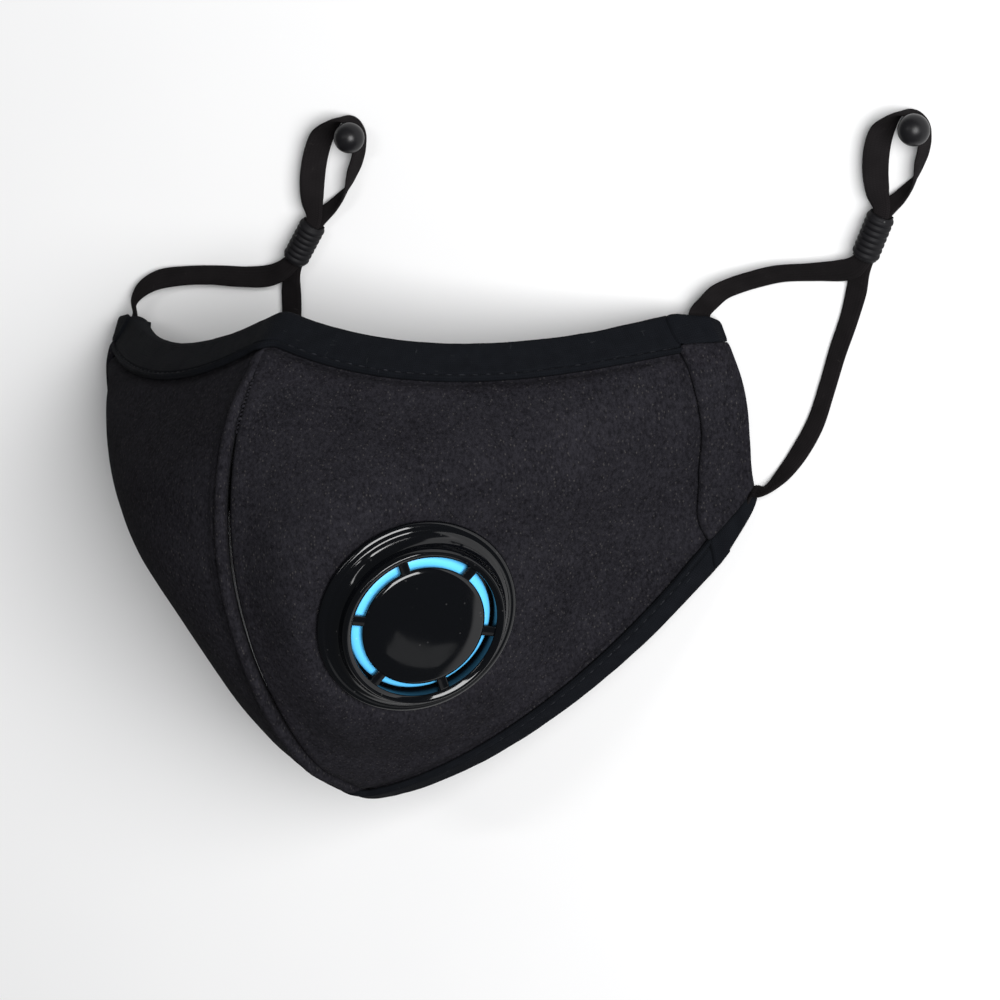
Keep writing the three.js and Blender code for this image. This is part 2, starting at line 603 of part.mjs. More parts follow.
const foam = new THREE.MeshStandardMaterial({ color: 0x26252a, roughness: 0.92, metalness: 0 });
const knit = new THREE.MeshStandardMaterial({ color: 0x141619, roughness: 0.85, metalness: 0 });
const elastic = new THREE.MeshStandardMaterial({ color: 0x1e1c1d, roughness: 0.9, metalness: 0 });
const gloss = new THREE.MeshStandardMaterial({ color: 0x14161a, roughness: 0.18, metalness: 0 });
const silicone = new THREE.MeshStandardMaterial({ color: 0x1d1d21, roughness: 0.6, metalness: 0 });
const blue = new THREE.MeshStandardMaterial({ color: 0x5fb9f5, roughness: 0.4, metalness: 0 });

const mask = new THREE.Group();

function add(name, geometry, material, parent = mask) {
  const mesh = new THREE.Mesh(geometry, material);
  mesh.name = name;
  parent.add(mesh);
  return mesh;
}

add('panel_left', withValveHole(panel(1)), foam);
add('panel_right', panel(-1), foam);
add('top_band', binding(0, TOP_BAND_WIDTH), knit);
add('chin_band', binding(LAST_ROW, CHIN_BAND_WIDTH), knit);

const places = hemPlaces();
for (const [name, side] of [['left', 1], ['right', -1]]) {
  add(`hem_top_collar_${name}`, channel(side, ...places.noseCollar, 3), knit);
  add(`hem_channel_${name}`, channel(side, ...places.channel, 8), foam);
  add(`hem_chin_collar_${name}`, channel(side, ...places.chinCollar, 3), knit);
}

mask.add(valvePlace);
add('valve_base', turned(flangeProfile), gloss, valvePlace);
add('valve_back_ring', turned(backRingProfile), gloss, valvePlace);
add('valve_membrane', turned(membraneProfile), blue, valvePlace);
add('valve_cap', valveCap(), gloss, valvePlace);

for (const [name, loop] of Object.entries(loops)) {
  add(`ear_loop_${name}`, strap(loopRoute(loop), 80), elastic);
  const tube = add(`adjuster_${name}`, adjuster(), silicone);
  tube.rotation.set(-Math.PI / 2, 0, 0);
  const holder = new THREE.Group();
  holder.position.set(loop.adjusterX, loop.adjusterY, ADJUSTER_RADIUS + LIE);
  holder.rotation.z = -THREE.MathUtils.degToRad(loop.heading);
  holder.add(tube);
  mask.add(holder);
  const bead = add(`bead_${name}`, new THREE.SphereGeometry(BEAD_RADIUS, 16, 10), gloss);
  bead.position.copy(besideAdjuster(loop, BEAD_AHEAD, BEAD_RIGHT, BEAD_RADIUS + LIE));
}

export default mask;
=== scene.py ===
# %% [markdown]
# # Half-face sport mask
#
# The mask is two moulded foam panels joined down the middle, knit bindings round the open edges, a
# folded channel at each side that carries a flat elastic ear loop, and one exhalation valve on the
# wearer's left panel. It lies hollow side down on its two side hems, with both loops laid flat.
#
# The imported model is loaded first, because every visible piece takes its place from it. Lengths are
# worked in millimetres, as on a sewing pattern, and turned into metres when a mesh is made.

# %% Frame
import math

import json

import bpy
import numpy as np
from mathutils import Matrix, Vector, noise

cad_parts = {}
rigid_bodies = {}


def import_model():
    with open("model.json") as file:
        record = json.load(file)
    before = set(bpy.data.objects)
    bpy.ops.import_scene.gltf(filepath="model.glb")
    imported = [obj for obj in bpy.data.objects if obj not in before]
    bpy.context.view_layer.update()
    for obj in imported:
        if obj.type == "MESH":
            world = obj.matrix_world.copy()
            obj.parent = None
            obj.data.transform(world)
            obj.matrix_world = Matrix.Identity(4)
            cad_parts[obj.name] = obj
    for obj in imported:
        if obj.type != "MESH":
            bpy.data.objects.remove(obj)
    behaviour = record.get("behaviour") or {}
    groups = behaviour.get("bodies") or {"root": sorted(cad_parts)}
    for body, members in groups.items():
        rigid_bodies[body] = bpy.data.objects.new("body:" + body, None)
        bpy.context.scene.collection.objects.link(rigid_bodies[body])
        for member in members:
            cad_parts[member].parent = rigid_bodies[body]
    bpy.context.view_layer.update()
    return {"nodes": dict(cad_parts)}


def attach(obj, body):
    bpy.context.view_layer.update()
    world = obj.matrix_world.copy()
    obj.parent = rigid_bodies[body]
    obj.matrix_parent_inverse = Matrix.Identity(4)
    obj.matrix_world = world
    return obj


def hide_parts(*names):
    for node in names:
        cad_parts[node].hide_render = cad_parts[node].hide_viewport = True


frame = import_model()
MM = 0.001
print("frame nodes", len(frame["nodes"]))

# %% [markdown]
# ## Camera
#
# A long lens from about 1.3 m keeps the two loops the same size, as a catalogue picture does. It looks
# down on the mask's left side, so the valve faces the lens. It comes before the pieces, because the
# loops are laid out for this view.

# %% Camera
LOOK_AT = Vector((32.96, 8.72, 24.39)) * MM
CAMERA_RIGHT = Vector((0.82761, -0.12090, -0.54813))
CAMERA_UP = Vector((-0.01709, 0.97065, -0.23990))
CAMERA_AWAY = 1.26
FRAME_WIDTH = 0.2128
SENSOR_WIDTH = 36

camera_back = CAMERA_RIGHT.cross(CAMERA_UP).normalized()
camera_data = bpy.data.cameras.new("camera")
camera_data.sensor_width = SENSOR_WIDTH
camera_data.lens = SENSOR_WIDTH * CAMERA_AWAY / FRAME_WIDTH
camera_data.clip_end = 20
camera = bpy.data.objects.new("camera", camera_data)
turn = Matrix((CAMERA_RIGHT, CAMERA_UP, camera_back)).transposed().to_4x4()
camera.matrix_world = Matrix.Translation(LOOK_AT + camera_back * CAMERA_AWAY) @ turn
bpy.context.scene.collection.objects.link(camera)
bpy.context.scene.camera = camera
bpy.context.scene.view_settings.view_transform = "Standard"
print("camera at", [round(x, 4) for x in camera.matrix_world.translation])

# %% [markdown]
# ## The mould
#
# Half masks like this are pressed over a heated former, so one smooth surface carries every soft
# piece. It is a table of sections from the nose edge to the chin edge. Each section is a curve from
# the middle seam over the crown and the cheek to the hem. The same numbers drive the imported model,
# so the soft pieces land on it.

# %% Driving dimensions
GAP = 0.3
FOAM = 2.4
KNIT = 0.9
TOP_BAND_WIDTH = 8.6
CHIN_BAND_WIDTH = 4.5
HEM_WIDTH = 12.4
HEM_FOLD = 1.6
NOSE_COLLAR = {"fold": (2.6, 8), "edge": (-1.2, 5)}
CHIN_COLLAR = {"fold": (0.8, 4.4), "edge": (-1.1, 4.6)}
CHANNEL_DEPTH = 7.2
SEAM_ROLL = 0.8
SEAM_ROLL_WIDTH = 5
VALVE_X = 31.7
VALVE_ROW = 3.63
VALVE_AXIS = np.array((0.75, -0.26, 0.61))
VALVE_AXIS /= np.linalg.norm(VALVE_AXIS)
VALVE_FLAT = 23
VALVE_BLEND = 40
VALVE_SEAM = 12
HEM_Z = 1.2
SECTION_COLUMNS = ("seamY", "seamZ", "crownX", "crownZ", "cheekX", "cheekZ", "hemX", "hemY", "sag")
SECTIONS = np.array([
    (54.1, 47, 22, 47, 47, 35, 78.2, 45.85, -5.8),
    (41.35, 65, 22, 64, 62, 46, 80.1, 38.85, -9),
    (24.85, 75, 25, 75, 55, 56, 82.3, 31.35, -8),
    (2.85, 78, 26, 78, 47.5, 56.5, 83.2, 23.85, -7),
    (-21.15, 72, 23, 71, 33.5, 45.5, 82.7, 16.35, -8),
    (-41.65, 58.5, 21, 57, 31, 33, 82.0, 8.85, -9),
    (-54.0, 38, 22.5, 38, 43, 20.5, 82.6, 2.0, -11.0),
])
LAST_ROW = len(SECTIONS) - 1

# %% [markdown]
# The surface maths works on whole arrays, so a panel of many thousand points is laid out at once.

# %% Surface maths
def unit(a):
    return a / np.linalg.norm(a, axis=-1, keepdims=True)


def length(a):
    return np.linalg.norm(a, axis=-1)


def joined(*values):
    """Values of any matching shapes as the last axis of one array."""
    return np.stack(np.broadcast_arrays(*values), axis=-1)


def run_of(points, axis=0):
    """Distance along lines of points, from 0 at the first of each."""
    return np.insert(np.cumsum(length(np.diff(points, axis=axis)), axis=axis), 0, 0, axis=axis)


def circle(count):
    return np.linspace(0, 2 * math.pi, count, endpoint=False)


def column(name, row):
    """Catmull-Rom value of one column of the table at fractional rows."""
    values = SECTIONS[:, SECTION_COLUMNS.index(name)]
    before, after = 2 * values[0] - values[1], 2 * values[-1] - values[-2]
    values = np.concatenate(([before], values, [after]))
    i = np.clip(np.floor(row).astype(int), 0, LAST_ROW - 1)
    f = row - i
    a, b, c, d = (values[i + k] for k in range(4))
    return b + 0.5 * f * (c - a + f * (2 * a - 5 * b + 4 * c - d + f * (3 * (b - c) + d - a)))


def bezier(a, b, c, d, v):
    w = 1 - v
    return w * w * w * a + 3 * w * w * v * b + 3 * w * v * v * c + v * v * v * d


def smoothstep(x, low, high):
    t = np.clip((x - low) / (high - low), 0, 1)
    return t * t * (3 - 2 * t)


def loft(v, row):
    """Points of the mould, from the seam at v = 0 to the hem at v = 1."""
    x = bezier(0, column("crownX", row), column("cheekX", row), column("hemX", row), v)
    z = bezier(column("seamZ", row), column("crownZ", row), column("cheekZ", row), HEM_Z, v)
    s = x / column("hemX", row)
    seam_y, hem_y = column("seamY", row), column("hemY", row)
    y = seam_y + (hem_y - seam_y) * s + 4 * column("sag", row) * s * (1 - s)
    return joined(x, y, z)


def across_at(x, row):
    """The v at which a section reaches x."""
    low, high = 0.0, 1.0
    for _ in range(30):
        middle = (low + high) / 2
        if loft(middle, np.array(row))[..., 0] < x:
            low = middle
        else:
            high = middle
    return (low + high) / 2


valve_centre = loft(across_at(VALVE_X, VALVE_ROW), np.array(VALVE_ROW))


def off_axis(p):
    """Height over the flange's seat and distance from the valve's axis."""
    out = p - valve_centre
    height = out @ VALVE_AXIS
    return height, length(out - height[..., None] * VALVE_AXIS)


def surface(side, v, row):
    """Outer surface of one half: side 1 is the wearer's left, which the valve flattens."""
    v, row = np.broadcast_arrays(np.asarray(v, float), np.asarray(row, float))
    p = loft(v, row)
    if side > 0:
        height, radius = off_axis(p)
        hold = (1 - smoothstep(radius, VALVE_FLAT, VALVE_BLEND)) * smoothstep(p[..., 0], 0, VALVE_SEAM)
        return p - (height * hold)[..., None] * VALVE_AXIS
    roll = np.minimum(p[..., 0] / SEAM_ROLL_WIDTH, 1)
    p[..., 2] += SEAM_ROLL * np.sin(math.pi * roll)
    p[..., 0] *= -1
    return p


def frame_at(side, v, row):
    """Point, outward normal, direction to the chin, and millimetres per unit of v and of row."""
    v, row = np.broadcast_arrays(np.asarray(v, float), np.asarray(row, float))
    step = 0.004
    across = surface(side, v + step, row) - surface(side, v - step, row)
    along = surface(side, v, row + step * LAST_ROW) - surface(side, v, row - step * LAST_ROW)
    turn = np.cross(along, across)
    return (surface(side, v, row), unit(turn) * side, unit(along),
            length(turn) / length(along) / (2 * step),
            length(turn) / length(across) / (2 * step * LAST_ROW))


hem_length = float(length(surface(1, 1, 0) - surface(1, 1, LAST_ROW)))
print("hem length", round(hem_length, 2), "valve centre", np.round(valve_centre, 2))

# %% [markdown]
# ## Meshes
#
# Every soft piece is a closed solid swept through rings of points, so that cloth and foam have a real
# thickness. Each point keeps how far round and along the piece it is, in millimetres, as a UV map: a
# woven or knitted pattern then keeps its real pitch wherever the piece bends.

# %% Mesh helpers
def bare(name, vertices, faces):
    """An object in the scene from points in millimetres, its faces turned out."""
    mesh = bpy.data.meshes.new(name)
    mesh.from_pydata((np.asarray(vertices).reshape(-1, 3) * MM).tolist(), [], [tuple(f) for f in faces])
    mesh.calc_loop_triangles()
    triangles = np.zeros(len(mesh.loop_triangles) * 3, dtype=int)
    mesh.loop_triangles.foreach_get("vertices", triangles)
    points = np.zeros(len(mesh.vertices) * 3)
    mesh.vertices.foreach_get("co", points)
    a, b, c = points.reshape(-1, 3)[triangles.reshape(-1, 3)].transpose(1, 0, 2)
    if np.einsum("ij,ij->i", a, np.cross(b, c)).sum() < 0:
        mesh.flip_normals()
    made = bpy.data.objects.new(name, mesh)
    bpy.context.scene.collection.objects.link(made)
    return made


def link(name, vertices, faces, uv=None, replaces=True):
    """A visible piece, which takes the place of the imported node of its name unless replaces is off."""
    piece = bare(name, vertices, faces)
    mesh = piece.data
    mesh.polygons.foreach_set("use_smooth", [True] * len(mesh.polygons))
    if uv is not None:
        layer = mesh.uv_layers.new(name="UVMap")
        corners = np.zeros(len(mesh.loops), dtype=int)
        mesh.loops.foreach_get("vertex_index", corners)
        layer.data.foreach_set("uv", np.asarray(uv)[corners].ravel())
    mesh.update()
    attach(piece, "root")
    if replaces:
        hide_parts(name)
    return piece


def ring_quads(rings, count, closed=False):
    """Quads between consecutive rings of count points each, each ring closed on itself."""
    a, j = np.meshgrid(np.arange(rings if closed else rings - 1), np.arange(count), indexing="ij")
    b, k = (a + 1) % rings, (j + 1) % count
    quads = np.stack((a * count + j, a * count + k, b * count + k, b * count + j), axis=-1)
    return quads.reshape(-1, 4).tolist()


def rod_faces(rings, count, first=0):
    """Faces of a rod through rings of count points, with flat ends, its points numbered from first."""
    last = first + (rings - 1) * count
    return [*(np.array(ring_quads(rings, count)) + first).tolist(),
            tuple(range(first, first + count))[::-1], tuple(range(last, last + count))]


def fan_faces(rings, count):
    """Triangles that close the first and the last of rings on the two points numbered after them."""
    low, last = rings * count, (rings - 1) * count
    turns = [(j, (j + 1) % count) for j in range(count)]
    return [face for j, k in turns for face in ((low, k, j), (low + 1, last + j, last + k))]


def sweep(name, rings, uv=None, caps="fan"):
    """Closed solid through rings, an array of rings x points x 3. caps is fan, for a round end, or
    wall, for a ring that runs out along one face of a wall and back along the other."""
    count = rings.shape[1]
    vertices = rings.reshape(-1, 3)
    faces = ring_quads(len(rings), count)
    if caps == "wall":
        last = (len(rings) - 1) * count
        for j in range(count // 2 - 1):
            k = count - 1 - j
            faces.append((j, k, k - 1, j + 1))
            faces.append((last + j, last + j + 1, last + k - 1, last + k))
    else:
        vertices = np.concatenate((vertices, [rings[0].mean(axis=0), rings[-1].mean(axis=0)]))
        if uv is not None:
            uv = np.concatenate((uv, uv[:1], uv[-1:]))
        faces += fan_faces(len(rings), count)
    return link(name, vertices, faces, uv)


def soft_noise(points, size, seed):
    """Smooth random values from about -1 to 1 at points in millimetres, with bumps about size wide."""
    offset = Vector((seed * 17.3, seed * 9.1, seed * 4.7))
    values = [noise.noise(Vector(p) + offset) for p in points.reshape(-1, 3) / size]
    return np.array(values).reshape(points.shape[:-1])


def soft_waves(points, waves):
    """Sum of waves of noise, each given by its height, size and seed."""
    return sum(height * soft_noise(points, size, seed) for height, size, seed in waves)


def ruffled(rings, waves, share):
    """Rings moved along their normals by waves, by share of them at each point."""
    normals = unit(np.cross(np.gradient(rings, axis=0), np.roll(rings, -1, 1) - np.roll(rings, 1, 1)))
    return rings + normals * (soft_waves(rings, waves) * share)[..., None]


def eased(values, reach):
    """Moving average along the first axis, reach places each way, which takes the corners out."""
    window = np.hanning(2 * reach + 3)[1:-1]
    ends = (np.repeat(values[at], reach, axis=0) for at in (slice(1), slice(-1, None)))
    padded = np.concatenate((next(ends), values, next(ends)))
    return sum(w * padded[k:k + len(values)] for k, w in enumerate(window / window.sum()))


# %% [markdown]
# ## Ear loops
#
# Each ear loop is one length of flat woven elastic, 5.5 mm wide and under a millimetre thick. It
# starts and ends inside the folded channel at the mask's side. It leaves the channel's nose end, runs
# through a ribbed silicone adjuster, bends back under a bead, comes through the adjuster again and
# enters the chin end. The adjuster slides on both runs to shorten the loop.
#
# The loops lie flat on the table, and their routes keep close to the imported model's.

# %% Loop routes
STRAP_WIDTH = 5.5
STRAP_THICK = 0.9
STRAP_DEPTH = 4.6
ADJUSTER_RADIUS = 2.95
ADJUSTER_LENGTH = 10.5
BEAD_RADIUS = 3.35
LIE = 0.05
BEAD_AHEAD = 31.6
BEAD_RIGHT = 1.2
BEAD_LIFT = 2.4

# Each place of a route has a position, the lean of the strap's face in degrees and its share of the
# full width. The eye's places are measured ahead of the adjuster's near end, right of it, and up.
EYE_ROUTE = [
    (0.0, 0.0, 3.6, 0, 0.7), (5.2, 0.0, 3.6, 0, 0.7), (11.6, -0.2, 3.6, 1, 0.7),
    (14.4, -2.6, 3.2, 20, 0.95), (17.8, -4.9, 2.6, 32, 1), (22.4, -6.4, 2.5, 38, 1),
    (26.6, -6.6, 2.7, 50, 1), (30.2, -5.4, 3.1, 80, 0.98), (32.6, -3.4, 3.1, 90, 0.98),
    (33.3, -1.0, 3.1, 90, 0.94), (32.3, 1.6, 3.0, 90, 0.9), (29.4, 3.2, 2.9, 90, 0.9),
    (25.4, 3.8, 2.8, 90, 0.96), (20.8, 3.9, 2.5, 68, 0.88), (15.8, 2.2, 2.1, 30, 0.66),
    (10.6, 0.0, 2.3, 4, 0.7), (5.2, 0.0, 2.3, 0, 0.7), (0.0, 0.0, 2.3, 0, 0.7),
]
LOOPS = {
    "left": {
        "side": 1, "adjuster": (116.5, 56.45), "heading": 30.5, "bend": -1.5, "stretch": 1,
        "mouth": [(0.6, 4.7), (0.3, 4.5), (0.05, 3.9)],
        "out": [
            (78.2, 47.4, 3.7, 46, 0.9), (80.6, 49.2, 3.5, 44, 0.94), (84.0, 50.5, 3.2, 42, 0.94),
            (88.6, 51.7, 2.7, 40, 0.92), (95.0, 52.9, 2.3, 37, 0.92), (103.5, 53.2, 2.1, 34, 0.92),
            (110.4, 53.6, 2.6, 24, 0.95), (114.2, 54.6, 3.4, 8, 0.8),
        ],
        "back": [
            (114.4, 53.2, 1.7, 2, 0.8), (112.6, 49.2, 1.0, 4, 0.9), (110.0, 43.2, 0.9, 7, 0.82),
            (106.2, 35.8, 0.9, 7, 0.78), (102.7, 28.2, 0.9, 7, 0.78), (98.9, 20.6, 0.9, 8, 0.78),
            (94.6, 14.6, 1.25, 14, 0.8), (90.6, 10.2, 1.8, 34, 0.84), (87.6, 7.6, 2.6, 56, 0.84),
            (85.6, 6.4, 2.6, 68, 0.76), (84.0, 5.9, 2.2, 72, 0.68), (82.4, 5.9, 1.8, 66, 0.6),
        ],
        "entry": [(5.35, 3.2), (5.2, 4.2)],
    },
    "right": {
        "side": -1, "adjuster": (-28.75, 56.75), "heading": 38.8, "bend": -5, "stretch": 1.14,
        "mouth": [(0.6, 4.5), (0.3, 4.4), (0.05, 4.6)],
        "out": [
            (-74.0, 47.6, 4.2, -46, 0.9), (-72.0, 50.1, 3.9, -40, 0.96), (-67.6, 52.3, 3.1, -35, 0.94),
            (-60.0, 53.2, 2.6, -42, 0.92), (-52.0, 53.3, 2.4, -46, 0.92), (-43.6, 52.9, 2.5, -42, 0.92),
            (-36.4, 53.2, 2.8, -28, 0.95), (-31.8, 54.7, 3.4, -8, 0.8),
        ],
        "back": [
            (-30.8, 53.6, 1.7, 2, 0.8), (-32.2, 49.4, 1.0, 0, 0.95), (-33.0, 44.4, 0.9, 0, 0.94),
            (-35.4, 34.8, 0.9, 0, 1), (-40.4, 24.2, 0.9, 0, 1), (-48.0, 13.2, 0.9, 0, 1),
            (-57.0, 3.6, 0.9, 0, 1), (-65.2, -5.6, 0.9, 0, 1), (-71.6, -10.6, 1.0, -6, 0.92),
            (-76.8, -11.0, 2.1, -26, 0.8), (-79.4, -7.8, 3.1, -42, 0.8),
        ],
        "entry": [(6, 4.2), (5.6, 4.6)],
    },
}


def beside_adjuster(loop, ahead, right, z):
    """Places by their distances from a loop's adjuster. Past the tube, the loop bends and stretches."""
    past = np.maximum(ahead - ADJUSTER_LENGTH, 0) * loop["stretch"]
    bend, heading = math.radians(loop["bend"]), math.radians(loop["heading"])
    x = right + past * math.sin(bend)
    y = np.minimum(ahead, ADJUSTER_LENGTH) + past * math.cos(bend)
    return joined(loop["adjuster"][0] + x * math.cos(heading) + y * math.sin(heading),
                  loop["adjuster"][1] - x * math.sin(heading) + y * math.cos(heading), z)


def on_hem(side, depth, lift, row):
    """Point at a depth in from the hem's fold and a lift out from the panel's face."""
    hem_rate = frame_at(side, 1, row)[3]
    p, normal = frame_at(side, 1 - depth / hem_rate, row)[:2]
    return p + np.asarray(lift)[..., None] * normal


def channel_route(side, places):
    """Places of the strap inside a channel, each given by its row and its depth in from the fold."""
    route = []
    for row, depth in places:
        normal, to_chin = frame_at(side, 1, row)[1:3]
        right = unit(np.cross((0, 0, 1), to_chin))
        up = np.cross(to_chin, right)
        lean = math.degrees(math.atan2(normal @ right, normal @ up))
        route.append((*on_hem(side, depth, -FOAM / 2, row), lean, 0.88))
    return route


def loop_route(loop):
    eye = [(*beside_adjuster(loop, a, r, z), lean, wide) for a, r, z, lean, wide in EYE_ROUTE]
    start = [(2.95, STRAP_DEPTH), (2, STRAP_DEPTH), (1.1, STRAP_DEPTH), *loop["mouth"]]
    finish = [*loop["entry"], (5, STRAP_DEPTH), (4, STRAP_DEPTH), (3.05, STRAP_DEPTH)]
    return np.array([*channel_route(loop["side"], start), *loop["out"], *eye, *loop["back"],
                     *channel_route(loop["side"], finish)])


def centripetal(points, per_span):
    """Centripetal Catmull-Rom through points, per_span steps between neighbours."""
    ends = (2 * points[0] - points[1], 2 * points[-1] - points[-2])
    q = np.concatenate((ends[:1], points, ends[1:]))
    out = []
    for i in range(len(points) - 1):
        a, b, c, d = q[i:i + 4]
        t0, t1, t2 = (math.sqrt(max(np.linalg.norm(m - n), 1e-6)) for m, n in ((b, a), (c, b), (d, c)))
        m1 = ((b - a) / t0 - (c - a) / (t0 + t1) + (c - b) / t1) * t1
        m2 = ((c - b) / t1 - (d - b) / (t1 + t2) + (d - c) / t2) * t1
        t = np.linspace(0, 1, per_span, endpoint=False)[:, None]
        out.append(b + t * m1 + t * t * (-3 * b + 3 * c - 2 * m1 - m2)
                   + t ** 3 * (2 * b - 2 * c + m1 + m2))
    return np.concatenate((*out, points[-1:]))


def even(line, values, step):
    """The line and the values along it at equal steps of its length."""
    run = run_of(line)
    at = np.linspace(0, run[-1], int(round(run[-1] / step)) + 1)
    line = np.stack([np.interp(at, run, line[:, k]) for k in range(3)], axis=-1)
    return line, [np.interp(at, run, v) for v in values], at


# %% [markdown]
# The strap's section is nearly flat with rounded edges and faint ribs, as the covered rubber threads
# of narrow elastic show. It is swept along the route with the lean and gathering of each place. At
# the adjuster both runs are squeezed narrower, and at the bead the strap stands on its edge.

# %% Ear loops
STRAP_RIBS = 7
RIB_HEIGHT = 0.05


def strap(name, loop, step=0.34, half_points=20):
    """The flat elastic of a loop, and the line that it runs along."""
    route = loop_route(loop)
    per_span = 24
    fine = centripetal(route[:, :3], per_span)
    places = np.arange(len(fine)) / per_span
    lean = np.interp(places, np.arange(len(route)), route[:, 3])
    wide = np.interp(places, np.arange(len(route)), route[:, 4])
    line, (lean, wide), at = even(fine, (lean, wide), step)
    lean, wide = np.radians(eased(lean, 6)), eased(wide, 6)
    run = unit(np.gradient(line, axis=0))
    right = unit(np.cross(run, (0, 0, 1)))
    up = np.cross(right, run)
    face = up * np.cos(lean)[:, None] + right * np.sin(lean)[:, None]
    cross = unit(np.cross(run, face))
    u = np.sin(np.linspace(-0.5, 0.5, half_points) * math.pi)
    edge = np.sqrt(np.clip(1 - np.abs(u) ** 7, 0, 1))
    ribs = RIB_HEIGHT * np.cos(2 * math.pi * STRAP_RIBS * (u + 1) / 2)
    height = (STRAP_THICK / 2 - RIB_HEIGHT + ribs) * edge
    wave = 0.06 * np.sin(at / 7.3) + 0.04 * np.sin(at / 2.9 + 1.3)
    outline_u = np.concatenate((u, u[::-1][1:-1]))
    outline_h = np.concatenate((height, -height[::-1][1:-1]))
    half = (STRAP_WIDTH / 2 * wide + wave * 0.6)[:, None, None]
    rings = (line[:, None] + cross[:, None] * half * outline_u[None, :, None]
             + face[:, None] * outline_h[None, :, None])
    round_at = outline_u * STRAP_WIDTH / 2
    uv = joined(round_at[None, :], at[:, None]).reshape(-1, 2)
    return sweep(name, rings, uv), line


loops_made = {}
for side_name, loop in LOOPS.items():
    loops_made[side_name] = strap(f"ear_loop_{side_name}", loop)
    print("ear loop", side_name, "length mm", round(float(run_of(loops_made[side_name][1])[-1]), 1))

# %% [markdown]
# ## Adjusters and beads
#
# The adjusters are short moulded silicone tubes with rounded ribs for the fingers and a flat slot
# that grips both runs of elastic. The beads are hard glossy balls that stop an adjuster sliding off.

# %% Adjusters and beads
SLOT_POWER = 2 / 5


def adjuster(name, loop):
    """Ribbed tube whose bore, a flat slot with round corners, flares at its ends."""
    ribs, margin, rib_depth, around = 7, 0.5, 0.42, 40
    pitch = (ADJUSTER_LENGTH - 2 * margin) / ribs
    c, s = np.cos(circle(around)), np.sin(circle(around))
    local = []
    for y in np.linspace(0, ADJUSTER_LENGTH, 85):
        end = min(y, ADJUSTER_LENGTH - y)
        ripple = abs(math.sin(math.pi * (y - margin) / pitch)) ** 0.6 if end > margin else 0
        round_off = 0.45 * (1 - math.sqrt(max(1 - (1 - min(end / margin, 1)) ** 2, 0)))
        r = ADJUSTER_RADIUS - rib_depth + rib_depth * ripple - round_off
        local.append(joined(c * r, y, s * r))
    slot_x = 0.38 * STRAP_WIDTH * np.sign(c) * np.abs(c) ** SLOT_POWER
    slot_z = 1.45 * np.sign(s) * np.abs(s) ** SLOT_POWER
    flare = ((1.14, 0.0), (1.03, 0.3), (1.0, 0.8))
    for grow, y in [(g, ADJUSTER_LENGTH - y) for g, y in flare] + list(flare[::-1]):
        local.append(joined(slot_x * grow, y, slot_z * grow))
    right, ahead, up = np.moveaxis(np.array(local), -1, 0)
    points = beside_adjuster(loop, ahead, right, up + ADJUSTER_RADIUS + LIE)
    return link(name, points, ring_quads(len(local), around, closed=True))


def ball(name, centre, radius, around=56, along=36):
    polar, turn = np.linspace(0.02, math.pi - 0.02, along)[:, None], circle(around)
    rings = joined(np.sin(polar) * np.cos(turn), np.sin(polar) * np.sin(turn), np.cos(polar))
    return sweep(name, rings * radius + np.asarray(centre))


for side_name, loop in LOOPS.items():
    tube = adjuster(f"adjuster_{side_name}", loop)
    centre = beside_adjuster(loop, BEAD_AHEAD, BEAD_RIGHT, BEAD_RADIUS + BEAD_LIFT)
    bead = ball(f"bead_{side_name}", centre, BEAD_RADIUS)
    piece, line = loops_made[side_name]
    path = (line[::4] * MM).tolist()

# %% [markdown]
# ## Foam panels
#
# The two cheek panels are a few millimetres of soft foam faced with brushed fabric, cut flat and
# pressed to shape. The foam swells a little where it is free and is pinched where a binding, a hem
# or the valve's flange holds it. Down the middle the wearer's right panel rolls over the seam
# allowance and the left panel tucks in beside it, which leaves one rounded ridge with a dark line at
# its foot.

# %% Foam panels
SEAM_CLEAR = 0.02


def bump(x, centre, width):
    return np.exp(-((x - centre) / width) ** 2)


def relief(side, from_seam, from_nose, from_chin, from_fold, from_valve, p):
    """How far the foam's face stands out of the mould, in millimetres."""
    free = (smoothstep(from_nose, TOP_BAND_WIDTH, TOP_BAND_WIDTH + 5)
            * smoothstep(from_chin, CHIN_BAND_WIDTH, CHIN_BAND_WIDTH + 5)
            * smoothstep(from_fold, HEM_WIDTH, HEM_WIDTH + 4)
            * smoothstep(from_valve, 21, 27))
    out = free * soft_waves(p, ((0.34, 26, side + 3), (0.10, 9, side + 5)))
    for distance, edge, swell in ((from_nose, TOP_BAND_WIDTH, 0.5), (from_chin, CHIN_BAND_WIDTH, 0.4),
                                  (from_fold, HEM_WIDTH, 0.55)):
        out += swell * bump(distance, edge + 3.2, 2.2) - 0.45 * bump(distance, edge + 0.3, 0.9)
    out += -0.25 * bump(from_valve, 21.6, 0.9) + 0.25 * bump(from_valve, 24.5, 2.0)
    grown = smoothstep(from_nose, 11, 27)
    if side > 0:
        out += 0.15 * grown * bump(from_seam, 2.6, 1.2) - (0.35 + 0.95 * grown) * bump(from_seam, 0, 0.8)
    else:
        ridge = np.sqrt(np.clip(1 - ((from_seam - 1.35) / 1.35) ** 2, 0, 1))
        out += ((0.25 + 0.75 * grown) * ridge
                - 0.5 * bump(from_seam, 0, 0.35) - 0.25 * bump(from_seam, 3.2, 0.7))
    return out


